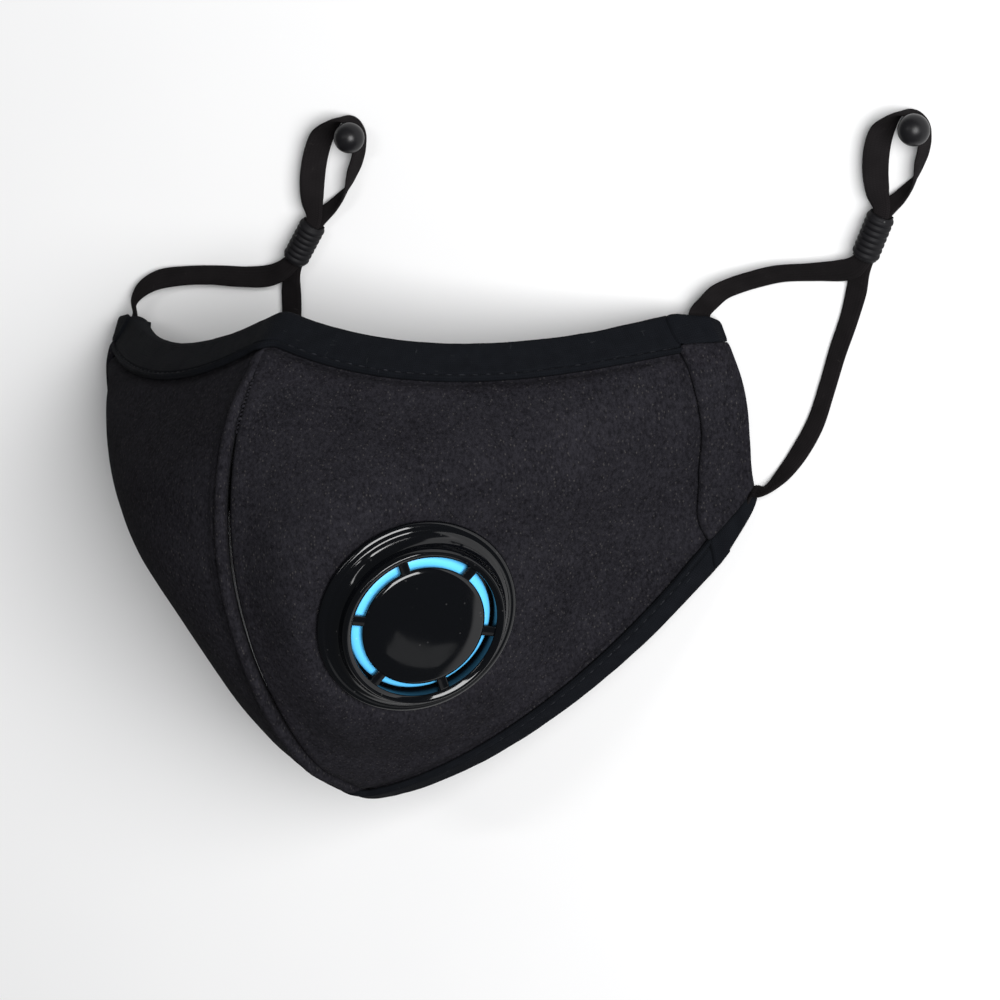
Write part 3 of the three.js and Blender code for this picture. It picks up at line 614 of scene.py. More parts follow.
def panel(name, side, across=112, along=190):
    """A foam panel, with its columns close together where it rolls in at the seam."""
    row = np.linspace(0, LAST_ROW, along)[:, None]
    edge = 1 - (CHANNEL_DEPTH + GAP) / frame_at(side, 1, row)[3]
    near = np.array((0, 0.12, 0.25, 0.4, 0.6, 0.85, 1.1, 1.35, 1.6, 1.85, 2.1, 2.35, 2.6, 2.9, 3.3,
                     3.8, 4.4, 5.2)) / frame_at(side, 0.01, row)[3]
    share = np.linspace(0, 1, across - near.shape[1] + 1)[1:]
    v = np.concatenate((near, near[:, -1:] + (edge - near[:, -1:]) * share), axis=1)
    p, normal = frame_at(side, v, row)[:2]
    from_seam, from_nose = run_of(p, 1), run_of(p)
    from_chin = from_nose[-1:] - from_nose
    from_fold = from_seam[:, -1:] - from_seam + CHANNEL_DEPTH + GAP
    from_valve = off_axis(p)[1] if side > 0 else np.full(v.shape, 100.0)
    lift = relief(side, from_seam, from_nose, from_chin, from_fold, from_valve, p)
    held = np.maximum.reduce([1 - smoothstep(d, w - 1, w) for d, w in (
        (from_nose, TOP_BAND_WIDTH), (from_chin, CHIN_BAND_WIDTH), (from_fold, HEM_WIDTH))])
    lift = lift * (1 - held) + np.minimum(lift, 0) * held
    face = p + normal * lift[..., None]
    back = p - normal * (FOAM + 0.12 * soft_noise(p, 14, side + 9))[..., None]
    for wall in (face, back):
        wall[..., 0] = side * np.maximum(side * wall[..., 0], SEAM_CLEAR)
    rings = np.concatenate((face, back[:, ::-1]), axis=1)
    uv = joined(*(np.concatenate((d, d[:, ::-1]), axis=1) for d in (from_seam, from_nose)))
    piece = sweep(name, rings, uv.reshape(-1, 2), caps="wall")
    return piece


panel_left = panel("panel_left", 1)
panel_right = panel("panel_right", -1)
print("panel faces", len(panel_left.data.polygons), len(panel_right.data.polygons))

# %% [markdown]
# The valve's neck passes through a round hole in the left panel. It is cut with a boolean, which gives
# the foam a clean wall there, as a punch does.

# %% Valve hole
VALVE_NECK = 14.4
valve_nose = unit(np.array((0.0, 1.0, 0.0)) - VALVE_AXIS[1] * VALVE_AXIS)
valve_side = np.cross(valve_nose, VALVE_AXIS)


def at_valve(local):
    """Points given as side, nose and out from the flange's seat, in the row frame."""
    return np.asarray(local) @ np.stack((valve_side, valve_nose, VALVE_AXIS)) + valve_centre


def cut(piece, cutter):
    """Takes the cutter out of a piece for good."""
    bpy.context.view_layer.update()
    trim = piece.modifiers.new("cut", "BOOLEAN")
    trim.operation, trim.object, trim.solver = "DIFFERENCE", cutter, "EXACT"
    shape = piece.evaluated_get(bpy.context.evaluated_depsgraph_get())
    mesh = bpy.data.meshes.new_from_object(shape)
    piece.modifiers.remove(trim)
    piece.data = mesh
    bpy.data.objects.remove(cutter)


PUNCH_POINTS, PUNCH_REACH = 96, 9.0
turn, radius = circle(PUNCH_POINTS), VALVE_NECK + GAP
punch_rings = [at_valve(joined(np.cos(turn) * radius, np.sin(turn) * radius, h))
               for h in (-PUNCH_REACH, PUNCH_REACH)]
cut(panel_left, bare("punch", punch_rings, rod_faces(2, PUNCH_POINTS)))
print("left panel after its hole", len(panel_left.data.polygons), "faces")

# %% [markdown]
# ## Knit bindings
#
# A strip of smooth knit is folded round each open edge and sewn through. Near its stitched edge the
# strip is turned under, so a narrow roll stands there with a row of small stitches in the groove above
# it. The strip runs on under the collars at its two ends, and eases over the seam's ridge.

# %% Knit bindings
def folded_outline(width, thick):
    """Depth in from the edge and lift from the panel's face, out over the face and back under."""
    lift = GAP + thick
    under = -FOAM - GAP
    depth = np.concatenate((width - np.array((0, 0.12, 0.3, 0.55, 0.8, 1.0, 1.2, 1.35, 1.5, 1.7, 2.0)),
                            np.linspace(width - 2.6, 0.03 * width, 9)))
    roll = 0.42 * bump(depth, width - 0.6, 0.42) - 0.42 * bump(depth, width - 1.35, 0.22)
    end_round = 0.75 * thick * np.clip(1 - (width - depth) / 0.5, 0, 1) ** 2
    turn = np.linspace(math.pi / 2, -math.pi / 2, 11)[1:-1]
    middle, half = -FOAM / 2, FOAM / 2 + GAP
    return np.concatenate((
        joined(depth, lift + roll - end_round),
        joined(-(GAP + thick) * np.cos(turn), middle + (half + thick) * np.sin(turn)),
        joined(depth, under - thick + end_round)[::-1],
        joined(depth, under),
        joined(-GAP * np.cos(turn), middle + half * np.sin(turn))[::-1],
        joined(depth, GAP)[::-1]))


def binding(name, edge_row, width, tucked, steps=190):
    """A folded strip along the nose or chin edge, its ends tucked under the collars."""
    inward = 1 if edge_row == 0 else -1
    outline = folded_outline(width, KNIT)
    depth, lift = outline.T
    past_edge = inward * np.minimum(depth, 0)[:, None]
    rings, edges = [], []
    for i in [*range(-steps, 0), *range(1, steps + 1)]:
        side = 1 if i > 0 else -1
        last = 1 - (HEM_WIDTH - tucked) / frame_at(side, 1, edge_row)[3]
        v = 0.001 + (last - 0.001) * (abs(i) - 1) / (steps - 1)
        edge, _, edge_chin, _, chin_rate = frame_at(side, v, edge_row)
        p, normal = frame_at(side, v, edge_row + inward * np.maximum(depth, 0) / chin_rate)[:2]
        rings.append(p + normal * lift[:, None] + past_edge * edge_chin)
        edges.append(edge)
    rings, along = np.array(rings), run_of(np.array(edges))
    run = float(along[-1])
    over_seam = bump(along, run / 2, 7)[:, None, None]
    rings = ruffled(rings + (eased(rings, 8) - rings) * over_seam,
                    ((0.16, 12, edge_row + 2), (0.07, 3.5, edge_row + 4)),
                    np.arange(len(depth)) < len(depth) / 2)
    uv = joined(run_of(outline)[None, :], along[:, None]).reshape(-1, 2)
    piece = sweep(name, rings, uv, caps="wall")


binding("top_band", 0, TOP_BAND_WIDTH, 0.8)
binding("chin_band", LAST_ROW, CHIN_BAND_WIDTH, 4.0)

# %% [markdown]
# ## Side channels
#
# At each side a strip of the face fabric is folded double round the panel's edge and sewn down, which
# leaves a channel for the elastic. Short collars of the knit finish its two ends, where the elastic
# comes out.

# %% Side channels
CORNER_CUT = 0.55
END_TUCK = 0.32
TUCKED_RINGS = 4
CLOSE = 0.05


def channel_outline():
    """Depth in from the fold and lift from the panel's face, out over it, round and back inside."""
    wide, thick, middle, room, back = HEM_WIDTH, HEM_FOLD, -FOAM / 2, 0.95, -FOAM - GAP
    over = [(wide, 0), (wide + 0.05, 0.45), (wide - 0.35, 0.8), (wide - 0.9, 0.98), (wide - 1.6, 0.97),
            (wide - 2.4, 1), (wide - 3.4, 1.06), (6.4, 1.04), (5, 1)]
    turned_in = [(3.6, room + thick + 0.75), (2.4, room + thick + 0.1), (1.4, room + 0.95), (0.7, 1.75),
                 (0.25, 1.1), (0, 0.4)]
    under = [(5, 1), (wide - 1.8, 1), (wide - 0.6, 0.9), (wide, 0.5)]
    return np.array([
        *((d, GAP + share * thick) for d, share in over),
        *((d, middle + h) for d, h in turned_in),
        *((d, middle - h) for d, h in turned_in[::-1]),
        *((d, back - share * thick) for d, share in under),
        (wide, back), (8.5, back), (6, back), (3.8, middle - room - 0.9), (1.9, middle - room),
        (1.75, middle), (1.9, middle + room), (3.8, middle + room + 0.9), (6, GAP), (8.5, GAP)])


def refine(outline, times=2):
    """Rounds a closed outline by corner cutting."""
    for _ in range(times):
        after = np.roll(outline, -1, axis=0)
        outline = np.stack((0.75 * outline + 0.25 * after, 0.25 * outline + 0.75 * after), axis=1)
        outline = outline.reshape(-1, 2)
    return outline


def channel(name, side, start, stop, slot_name, steps, corners=(1.5, 1.5)):
    """A piece of a channel between two places along the hem, each its distance at the fold and at the
    stitched edge. Its corners are rounded, as folded cloth is, with one radius for each end."""
    outline = refine(channel_outline())
    depth, lift = outline.T
    share = depth / HEM_WIDTH
    from_edge = np.minimum(depth, HEM_WIDTH - depth)
    cuts = [CORNER_CUT * (c - np.sqrt(np.clip(c ** 2 - np.clip(c - from_edge, 0, c) ** 2, 0, None)))
            for c in corners]
    first = start[0] + (start[1] - start[0]) * share + cuts[0]
    final = stop[0] + (stop[1] - stop[0]) * share - cuts[1]
    t = np.linspace(0, 1, steps)[:, None]
    along = first + (final - first) * t
    end = np.minimum(np.arange(steps), np.arange(steps)[::-1])[:, None]
    tuck = END_TUCK * np.clip(1 - end / TUCKED_RINGS, 0, 1) ** 2
    inward = np.where(lift > -FOAM / 2, -1, 1) * tuck
    rings = on_hem(side, depth, lift + inward, along * LAST_ROW / hem_length)
    rings = ruffled(rings, ((0.16, 11, side + 6), (0.06, 3.2, side + 8)), -side * (lift > -FOAM / 2))
    rings[..., 2] = np.maximum(rings[..., 2], 0)
    return sweep(name, rings, joined(run_of(outline), along).reshape(-1, 2))


nose_ends = np.transpose((NOSE_COLLAR["fold"], NOSE_COLLAR["edge"]))
chin_ends = hem_length - np.transpose((CHIN_COLLAR["fold"], CHIN_COLLAR["edge"]))[::-1]
for side_name, side in (("left", 1), ("right", -1)):
    collar = channel(f"hem_top_collar_{side_name}", side, *nose_ends, "knit_binding", 26, (3.4, 1.5))
    chin_collar = channel(f"hem_chin_collar_{side_name}", side, *chin_ends, "knit_binding", 22,
                          (1.5, 3.0))
    hem = channel(f"hem_channel_{side_name}", side, nose_ends[1] + CLOSE, chin_ends[0] - CLOSE,
                  "foam_fabric", 110)

# %% [markdown]
# ## Exhalation valve
#
# The valve is hard glossy plastic in three turned parts: a flange with a stepped rim that sits on the
# fabric, a clamp ring inside the mask, and a domed disc on six short spokes. A soft blue membrane ring
# shows between the spokes. Each is a lathe of a profile with its corners rounded, because moulded
# plastic has no knife edges and the small radii catch the thin bright lines.

# %% Valve
def rounded(profile, fine=5):
    """Profile points (radius, height, corner radius) with each corner turned into an arc."""
    out = []
    count = len(profile)
    for i, (r, h, corner) in enumerate(profile):
        here = np.array((r, h))
        back, ahead = (np.array(profile[k % count][:2]) for k in (i - 1, i + 1))
        if corner == 0:
            out.append(here)
            continue
        a, b = unit(back - here), unit(ahead - here)
        reach = min(corner, 0.45 * np.linalg.norm(back - here), 0.45 * np.linalg.norm(ahead - here))
        start, finish = here + a * reach, here + b * reach
        for t in np.linspace(0, 1, fine):
            out.append((1 - t) ** 2 * start + 2 * t * (1 - t) * here + t * t * finish)
    return np.array(out)


VALVE_AROUND = 144


def spun(outline):
    """An outline (radius, height) at each step round the valve's axis: steps x points x 3."""
    angle, (radius, height) = circle(VALVE_AROUND)[:, None], outline.T
    return joined(np.cos(angle) * radius, np.sin(angle) * radius, height)


def turned(name, profile):
    """Closed lathe of an outline in the valve's own frame."""
    points = spun(rounded(profile))
    return link(name, at_valve(points), ring_quads(*points.shape[:2], closed=True))


VALVE_RADIUS = 21.8
VALVE_BORE = 13
VALVE_WINDOW = 16.3
VALVE_DISC = 13.4
valve_base = turned("valve_base", [
    (VALVE_BORE, -FOAM - 3.2, 0.2), (VALVE_NECK, -FOAM - 3.2, 0.4), (VALVE_NECK, GAP - 0.25, 0.1),
    (VALVE_RADIUS - 0.5, GAP - 0.25, 0.2), (VALVE_RADIUS, 0.7, 0.3), (VALVE_RADIUS, 1.5, 0.45),
    (VALVE_RADIUS - 0.6, 1.95, 0.4), (20.2, 2.0, 0.4), (19.7, 2.5, 0.5), (19.0, 2.95, 0.8),
    (18.1, 4.1, 0.9), (17.85, 6.2, 0.5), (17.4, 6.95, 0.45), (16.8, 6.9, 0.35),
    (VALVE_WINDOW - 0.4, 6.3, 0.3),
    (VALVE_WINDOW - 0.3, 2.0, 0.2), (VALVE_BORE, 2.0, 0.2),
])
back_ring = turned("valve_back_ring", [
    (VALVE_NECK + GAP, -FOAM - GAP - 1.8, 0.2), (18.6, -FOAM - GAP - 1.8, 0.4),
    (19.4, -FOAM - GAP - 1.2, 0.4), (19.4, -FOAM - GAP + 0.25, 0.1),
    (VALVE_NECK + GAP, -FOAM - GAP + 0.25, 0.1),
])
membrane = turned("valve_membrane", [
    (9, 2.3, 0.2), (15.4, 2.3, 0.2), (15.4, 3.2, 0.4), (14.8, 3.8, 0.6), (13.7, 4.1, 0.8),
    (12.2, 3.7, 0.8), (9, 3.1, 0.3),
])

VALVE_SPOKES = 6
VALVE_SPOKE_TURN = -14
SPOKE_WIDTH = 2.2
SPOKE_HEIGHT = 5.4


def spoke_section():
    """Outline of a spoke, sideways and up, with round corners."""
    half, high, corner, section = SPOKE_WIDTH / 2, 0.55, 0.28, []
    for sx, sz, first in ((1, 1, 0), (-1, 1, 90), (-1, -1, 180), (1, -1, 270)):
        for a in np.radians(np.linspace(first, first + 90, 5)):
            section.append((sx * (half - corner) + corner * math.cos(a),
                            sz * (high - corner) + corner * math.sin(a)))
    return np.array(section)


def valve_cap():
    """The disc, a lathe that closes on its axis, with its spokes."""
    profile = rounded([
        (0, 4.9, 0), (VALVE_DISC - 0.4, 4.9, 0.2), (VALVE_DISC, 5.3, 0.25), (VALVE_DISC, 5.85, 0.3),
        (VALVE_DISC - 0.6, 6.3, 0.4), (10, 6.85, 2.5), (6, 7.25, 2.5), (0, 7.4, 0)], fine=6)
    local = spun(profile[1:-1]).transpose(1, 0, 2)
    points = [local.reshape(-1, 3), np.array(((0, 0, profile[0][1]), (0, 0, profile[-1][1])))]
    faces = ring_quads(len(local), VALVE_AROUND) + fan_faces(len(local), VALVE_AROUND)
    total = len(local) * VALVE_AROUND + 2
    section = spoke_section()
    stations = (VALVE_DISC - 1.2, VALVE_DISC, VALVE_WINDOW - 0.4, VALVE_WINDOW - 0.05)
    for i in range(VALVE_SPOKES):
        a = math.radians(VALVE_SPOKE_TURN + 360 / VALVE_SPOKES * i)
        out, sideways = np.array((math.sin(a), math.cos(a), 0)), np.array((math.cos(a), -math.sin(a), 0))
        body = sideways * section[:, :1] + np.array((0, 0, 1)) * (SPOKE_HEIGHT + section[:, 1:])
        points.append(np.array([out * r + body for r in stations]).reshape(-1, 3))
        faces += rod_faces(len(stations), len(section), total)
        total += len(stations) * len(section)
    return link("valve_cap", at_valve(np.concatenate(points)), faces)


cap = valve_cap()
print("valve pieces", [p.name for p in (valve_base, back_ring, membrane, cap)])

# %% [markdown]
# ## Stitches
#
# The bindings and hems are sewn with a tone-on-tone lockstitch. Each stitch that shows is a short
# length of thread that rises out of one needle hole and dives into the next, and pulls the cloth down
# a little at both ends. The seam down the middle shows the loops of an overlock along its edge.

# %% Stitches
def stitch_row(name, places, pitch, length_share, thick, uneven=0.15, slant=0.0):
    """Stitches along places: a function that gives (point, normal, run) at a distance, and its end."""
    reach, at_end = places
    count = int(at_end / pitch)
    around, stations = 8, 9
    turn, t = circle(around), np.linspace(-1, 1, stations)
    rings, faces = [], []
    for i in range(count):
        luck = [math.sin(i * k) for k in (12.9898, 7.7, 4.13)]
        centre = (i + 0.5 + 0.35 * uneven * luck[0]) * pitch
        half = pitch * length_share / 2 * (1 + uneven * luck[1])
        girth = thick * (1 + uneven * luck[2])
        p, normal, run = reach(centre)
        side = unit(np.cross(run, normal))
        angle = math.radians(slant * (1 + 0.2 * luck[1]))
        along = run * math.cos(angle) + side * math.sin(angle)
        across = unit(np.cross(along, normal))
        rise = girth * (0.3 - 1.2 * np.abs(t) ** 3)
        size = girth / 2 * (1 - 0.35 * np.abs(t) ** 4)
        spine = p + along * (t * half)[:, None] + normal * rise[:, None]
        ring = (spine[:, None] + across * (size[:, None] * np.cos(turn))[..., None] * 1.15
                + normal * (size[:, None] * np.sin(turn))[..., None])
        rings.append(ring)
        faces += rod_faces(stations, around, i * stations * around)
    return link(name, rings, faces, replaces=False)


def along_edge(side, edge_row, lift, depth, v_range):
    """Places from the seam toward the hem, depth in from the nose or chin edge."""
    v = np.linspace(*v_range, 400)
    inward = 1 if edge_row == 0 else -1
    p, normal = frame_at(side, v, edge_row + inward * depth / frame_at(side, v, edge_row)[4])[:2]
    return on_line(p + normal * lift, normal)


def on_line(line, normal):
    """Reaches a place at a distance along a line of points."""
    run = run_of(line)
    direction = unit(np.gradient(line, axis=0))

    def reach(distance):
        p, n, d = (np.array([np.interp(distance, run, v[:, k]) for k in range(3)])
                   for v in (line, normal, direction))
        return p, unit(n), unit(d)

    return reach, run[-1]


SEWN_IN = 1.35
SUNK = 0.36
stitches = []
for side_name, side in (("left", 1), ("right", -1)):
    for band_name, edge_row, width in (
            ("top_band", 0, TOP_BAND_WIDTH), ("chin_band", LAST_ROW, CHIN_BAND_WIDTH)):
        v_range = (0.05, 1 - (HEM_WIDTH + 1) / frame_at(side, 1, edge_row)[3])
        stitches.append(stitch_row(
            f"{band_name}_stitches_{side_name}",
            along_edge(side, edge_row, GAP + KNIT - SUNK, width - SEWN_IN, v_range),
            pitch=2.7, length_share=0.62, thick=0.3))
    distance = np.linspace(NOSE_COLLAR["edge"][1] + 1, hem_length - CHIN_COLLAR["edge"][1] - 1, 200)
    rows = distance * LAST_ROW / hem_length
    hem_line = on_hem(side, HEM_WIDTH - 0.2, GAP + 0.42 * HEM_FOLD, rows)
    stitches.append(stitch_row(
        f"hem_stitches_{side_name}", on_line(hem_line, frame_at(side, 1, rows)[1]),
        pitch=2.6, length_share=0.4, thick=0.26))

seam_rows = np.linspace(0.62, 1.5, 240)
p, normal = frame_at(1, 0.75 / frame_at(1, 0.01, seam_rows)[3], seam_rows)[:2]
normal = unit(normal + np.array((0.25, 0, 0)))
stitches.append(stitch_row(
    "seam_overlock", on_line(p - normal * 0.3, normal), pitch=0.95, length_share=1.1, thick=0.42,
    uneven=0.3, slant=62))
for row in stitches:
    print(row.name, len(row.data.polygons), "faces")

# %% [markdown]
# ## Materials
#
# Every finish is procedural. An effect that more than one material uses is a node group with named
# inputs and outputs, so that it can be reused and tuned on its own. Light on these nearly black
# materials comes mostly from fibre sheen on the cloth and from gloss on the plastic.

# %% Node helpers
class Signal:
    """The output of a shader node. Arithmetic on it adds math nodes to its tree."""

    def __init__(self, tree, socket):
        self.tree, self.socket = tree, socket

    def other(self, output):
        return Signal(self.tree, self.socket.node.outputs[output])

    def math(self, operation, *others, clamp=False):
        inputs = dict(enumerate((self, *others)))
        return put(self.tree, "Math", inputs, operation=operation, use_clamp=clamp)

    def ramp(self, low, high, to_low=0.0, to_high=1.0):
        """Smooth step of the signal from low to high."""
        inputs = dict(enumerate((self, low, high, to_low, to_high)))
        return put(self.tree, "MapRange", inputs, interpolation_type="SMOOTHSTEP")

    def __add__(self, value):
        return self.math("ADD", value)

    def __sub__(self, value):
        return self.math("SUBTRACT", value)

    def __mul__(self, value):
        return self.math("MULTIPLY", value)

    def __truediv__(self, value):
        return self.math("DIVIDE", value)

    def __abs__(self):
        return self.math("ABSOLUTE")


def put(tree, kind, inputs=None, output=0, **settings):
    """An output of a new shader node, whose inputs are each a signal or a value."""
    made = tree.nodes.new("ShaderNode" + kind)
    for key, value in settings.items():
        setattr(made, key, value)
    for key, value in (inputs or {}).items():
        wire(tree, value, made.inputs[key])
    return Signal(tree, made.outputs[output])


def wire(tree, value, socket):
    if isinstance(value, Signal):
        tree.links.new(value.socket, socket)
    else:
        socket.default_value = value


def cloud(tree, vector, scale, detail, output=0, **more):
    """Noise at a vector."""
    return put(tree, "TexNoise", {"Vector": vector, "Scale": scale, "Detail": detail, **more}, output)


def blend_colours(tree, factor, a, b):
    """From a to b by a factor. Each is a colour's signal or its three values."""
    a, b = (c if isinstance(c, Signal) else (*c, 1) for c in (a, b))
    return put(tree, "Mix", {0: factor, 6: a, 7: b}, 2, data_type="RGBA")


def some_cells(cells, channel, low, high):
    """Picks cells by one channel of their random colour."""
    return put(cells.tree, "SeparateColor", {"Color": cells.other("Color")}, channel).ramp(low, high)


def stretched(tree, vector, factors, offset=(0.0, 0.0, 0.0)):
    return put(tree, "Mapping", {"Vector": vector, "Scale": factors, "Location": offset})


def effect(name, inputs, outputs):
    """An empty node group: its tree, the signals that come in, and a function that wires one out."""
    tree = bpy.data.node_groups.new(name, "ShaderNodeTree")
    for label, value in {"Vector": None, **inputs}.items():
        kind = "NodeSocketVector" if value is None else "NodeSocketFloat"
        socket = tree.interface.new_socket(name=label, in_out="INPUT", socket_type=kind)
        if value is not None:
            socket.default_value = value
    for label in outputs:
        tree.interface.new_socket(name=label, in_out="OUTPUT", socket_type="NodeSocketFloat")
    inlet = tree.nodes.new("NodeGroupInput").outputs
    outlet = tree.nodes.new("NodeGroupOutput").inputs
    return (tree, lambda label: Signal(tree, inlet[label]),
            lambda label, value: wire(tree, value, outlet[label]))


def use(tree, group, **inputs):
    """The outputs of a node group by name. An input's spaces are written as underscores."""
    made = tree.nodes.new("ShaderNodeGroup")
    made.node_tree = group
    for key, value in inputs.items():
        wire(tree, value, made.inputs[key.replace("_", " ")])
    return {socket.name: Signal(tree, socket) for socket in made.outputs}

# %% [markdown]
# ### Brushed melange
#
# The face fabric is a brushed jersey spun from black and grey fibre. Close up it has fine fibres, a
# scatter of paler flecks that run a little along the grain, and slow patches where the nap lies
# another way.

# %% Brushed melange group
melange, inlet, outlet = effect("brushed_melange", {"Fleck Amount": 0.5}, ("Tone", "Fleck", "Height"))
grain = stretched(melange, inlet("Vector"), (1.0, 0.62, 1.0))
fibres = cloud(melange, grain, 1.6, 4.0, Roughness=0.75)
fine = cloud(melange, grain, 6.5, 2.0, Roughness=0.6)
mottle = cloud(melange, inlet("Vector"), 0.62, 3.0, Roughness=0.6)
nap = cloud(melange, inlet("Vector"), 0.09, 2.0)
cells = put(melange, "TexVoronoi", {"Vector": grain, "Scale": 1.7, "Randomness": 1.0})
fleck = some_cells(cells, 0, 0.45, 0.98) * cells.other("Distance").ramp(0.40, 0.05)
tone = (fibres.ramp(0.30, 0.70, 0.0, 0.60) + fine.ramp(0.3, 0.7, 0.0, 0.14)
        + mottle.ramp(0.3, 0.7, 0.0, 0.2))
outlet("Tone", tone.math("ADD", nap.ramp(0.3, 0.7, 0.0, 0.14), clamp=True))
outlet("Fleck", fleck.math("MULTIPLY", inlet("Fleck Amount"), clamp=True))
outlet("Height", fibres + fine * 0.5)

# %% [markdown]
# ### Knit courses
#
# Binding knit has rows of small V-shaped stitches, with painted shade in the low places between them.
# One unit of the vector is a millimetre, across the binding and along it, so a stitch has its real size.

# %% Knit courses group
courses, inlet, outlet = effect("knit_courses", {"Stitch": 0.55}, ("Height", "Hollow"))
across = put(courses, "SeparateXYZ", {"Vector": inlet("Vector")})
wale = (across / inlet("Stitch")).math("FRACT")
course = across.other(1) / inlet("Stitch")
loop_height = abs(((course * 1.25 + abs(wale - 0.5)) * math.pi).math("SINE"))
column_height = (wale * math.pi).math("SINE")
uneven = cloud(courses, inlet("Vector"), 1.3, 2.0)
height = loop_height * column_height.math("POWER", 0.5) * (uneven + 0.6)
outlet("Height", height)
# Painted shade: the low places between the loops take the material's darker shade colour.
outlet("Hollow", height.ramp(0.45, 0.1))

# %% [markdown]
# ### Woven elastic
#
# Narrow woven elastic shows close crosswise picks of yarn over lengthwise rubber threads. The low
# places between the picks are painted darker, as painted shade.

# %% Woven elastic group
woven, inlet, outlet = effect("woven_elastic", {"Pick": 0.36, "Rib": 0.78}, ("Height", "Hollow"))
across = put(woven, "SeparateXYZ", {"Vector": inlet("Vector")})
rib = across / inlet("Rib")
parity = rib.math("FLOOR").math("PINGPONG", 1.0) * 0.5
pick_height = abs(((across.other(1) / inlet("Pick") + parity) * math.pi).math("SINE"))
rib_height = abs((rib * math.pi).math("SINE"))
height = pick_height * (rib_height * 0.65 + 0.35)
outlet("Height", height)
# Painted shade: the low places between the picks take the material's darker shade colour.
outlet("Hollow", height.ramp(0.4, 0.05))

# %% [markdown]
# ### Lint
#
# Dark cloth always carries a few pale fibres. They are short, thin and far apart.

# %% Lint group
lint, inlet, outlet = effect("lint", {"Spread": 0.5}, ("Mask",))
warp = cloud(lint, inlet("Vector"), 0.7, 1.0, "Color")
bent = put(lint, "VectorMath", {0: inlet("Vector"), 1: warp}, operation="ADD")
layers = []
for factors, offset in (((0.25, 2.6, 1.0), (3.1, 0.0, 0.0)), ((2.6, 0.28, 1.0), (0.0, 7.7, 0.0))):
    cells = put(lint, "TexVoronoi", {"Vector": stretched(lint, bent, factors, offset), "Scale": 1.0})
    layers.append(some_cells(cells, 1, 0.93, 0.95) * cells.other("Distance").ramp(0.24, 0.12))
outlet("Mask", layers[0].math("MAXIMUM", layers[1]).math("MULTIPLY", inlet("Spread"), clamp=True))

# %% [markdown]
# ### Handled plastic
#
# Moulded plastic and silicone pick up faint hair scratches and a little dust, which roughen the gloss
# in places.

# %% Handled plastic group
handled, inlet, outlet = effect("handled_plastic", {"Base Roughness": 0.15, "Wear": 0.5},
                                ("Roughness", "Dust", "Height"))
smear = cloud(handled, inlet("Vector"), 160.0, 3.0)
waves = cloud(handled, inlet("Vector"), 90.0, 1.0)
drawn_out = [stretched(handled, inlet("Vector"), factors)
             for factors in ((60.0, 1500.0, 700.0), (1700.0, 80.0, 500.0))]
scratches = [abs(cloud(handled, vector, 1.0, 0.0) - 0.5).ramp(0.02, 0.0) for vector in drawn_out]
scratch = scratches[0].math("MAXIMUM", scratches[1]) * smear.ramp(0.5, 0.7)
specks = put(handled, "TexVoronoi", {"Vector": inlet("Vector"), "Scale": 900.0})
dust = some_cells(specks, 0, 0.92, 0.94) * specks.other("Distance").ramp(0.22, 0.12)
worn = (smear.ramp(0.35, 0.75) * 0.08 + scratch * 0.12) * inlet("Wear")
outlet("Roughness", worn.math("ADD", inlet("Base Roughness"), clamp=True))
outlet("Dust", dust.math("MULTIPLY", inlet("Wear"), clamp=True))
outlet("Height", waves - scratch * 0.3)

# %% [markdown]
# ### Finishes
#
# The materials wire these effects into a Principled shader each. Cloth has almost no specular light
# and a little sheen at grazing angles, from the fibre ends.

# %% Materials
finishes = {}


def finish(name, **constants):
    """The tree and the shader of a new material; constants go straight on the shader's own sockets."""
    made = finishes[name] = bpy.data.materials.new(name)
    made.use_nodes = True
    shader = made.node_tree.nodes["Principled BSDF"]
    for key, value in constants.items():
        shader.inputs[key.replace("_", " ")].default_value = value
    return made.node_tree, shader


def map_mm(tree):
    return put(tree, "UVMap", uv_map="UVMap")


def place_m(tree):
    return put(tree, "TexCoord", output="Object")


def coat(tree, shader, colour, height, distance, strength=1.0):
    """Wires a material's colour and its bump, distance deep in metres."""
    wire(tree, colour, shader.inputs["Base Color"])
    relief = put(tree, "Bump", {"Height": height, "Distance": distance, "Strength": strength})
    wire(tree, relief, shader.inputs["Normal"])


tree, shader = finish("foam_fabric", Roughness=0.95, Specular_IOR_Level=0.015, Sheen_Weight=0.004,
                      Sheen_Roughness=0.5)
spot = stretched(tree, place_m(tree), (1 / MM, 1 / MM, 1 / MM))
cloth = use(tree, melange, Vector=spot, Fleck_Amount=0.8)
hairs = use(tree, lint, Vector=spot, Spread=0.3)
colour = blend_colours(tree, cloth["Tone"], (0.0028, 0.0027, 0.0035), (0.0190, 0.0182, 0.0224))
colour = blend_colours(tree, cloth["Fleck"], colour, (0.046, 0.043, 0.042))
colour = blend_colours(tree, hairs["Mask"] * 0.5, colour, (0.09, 0.087, 0.084))
coat(tree, shader, colour, cloth["Height"], 0.00009)


def sewn_cloth(name, group, sizes, sheen_roughness, patch_scale, dark, light, share, hollow_shade, fibre,
               relief):
    """Knit or woven cloth: slow patches from dark to light, with painted shade, by share, in the hollows
    between its yarns.
    """
    tree, shader = finish(name, Roughness=0.85, Specular_IOR_Level=0.03, Sheen_Weight=0.004,
                          Sheen_Roughness=sheen_roughness)
    yarn = use(tree, group, Vector=map_mm(tree), **sizes)
    hairs = use(tree, lint, Vector=map_mm(tree), Spread=0.5)
    colour = blend_colours(tree, cloud(tree, map_mm(tree), patch_scale, 3.0), dark, light)
    # Painted shade: the hollows between the yarns are darkened towards the shade colour, by share.
    colour = blend_colours(tree, yarn["Hollow"] * share, colour, hollow_shade)
    colour = blend_colours(tree, hairs["Mask"] * 0.4, colour, fibre)
    coat(tree, shader, colour, yarn["Height"], relief)
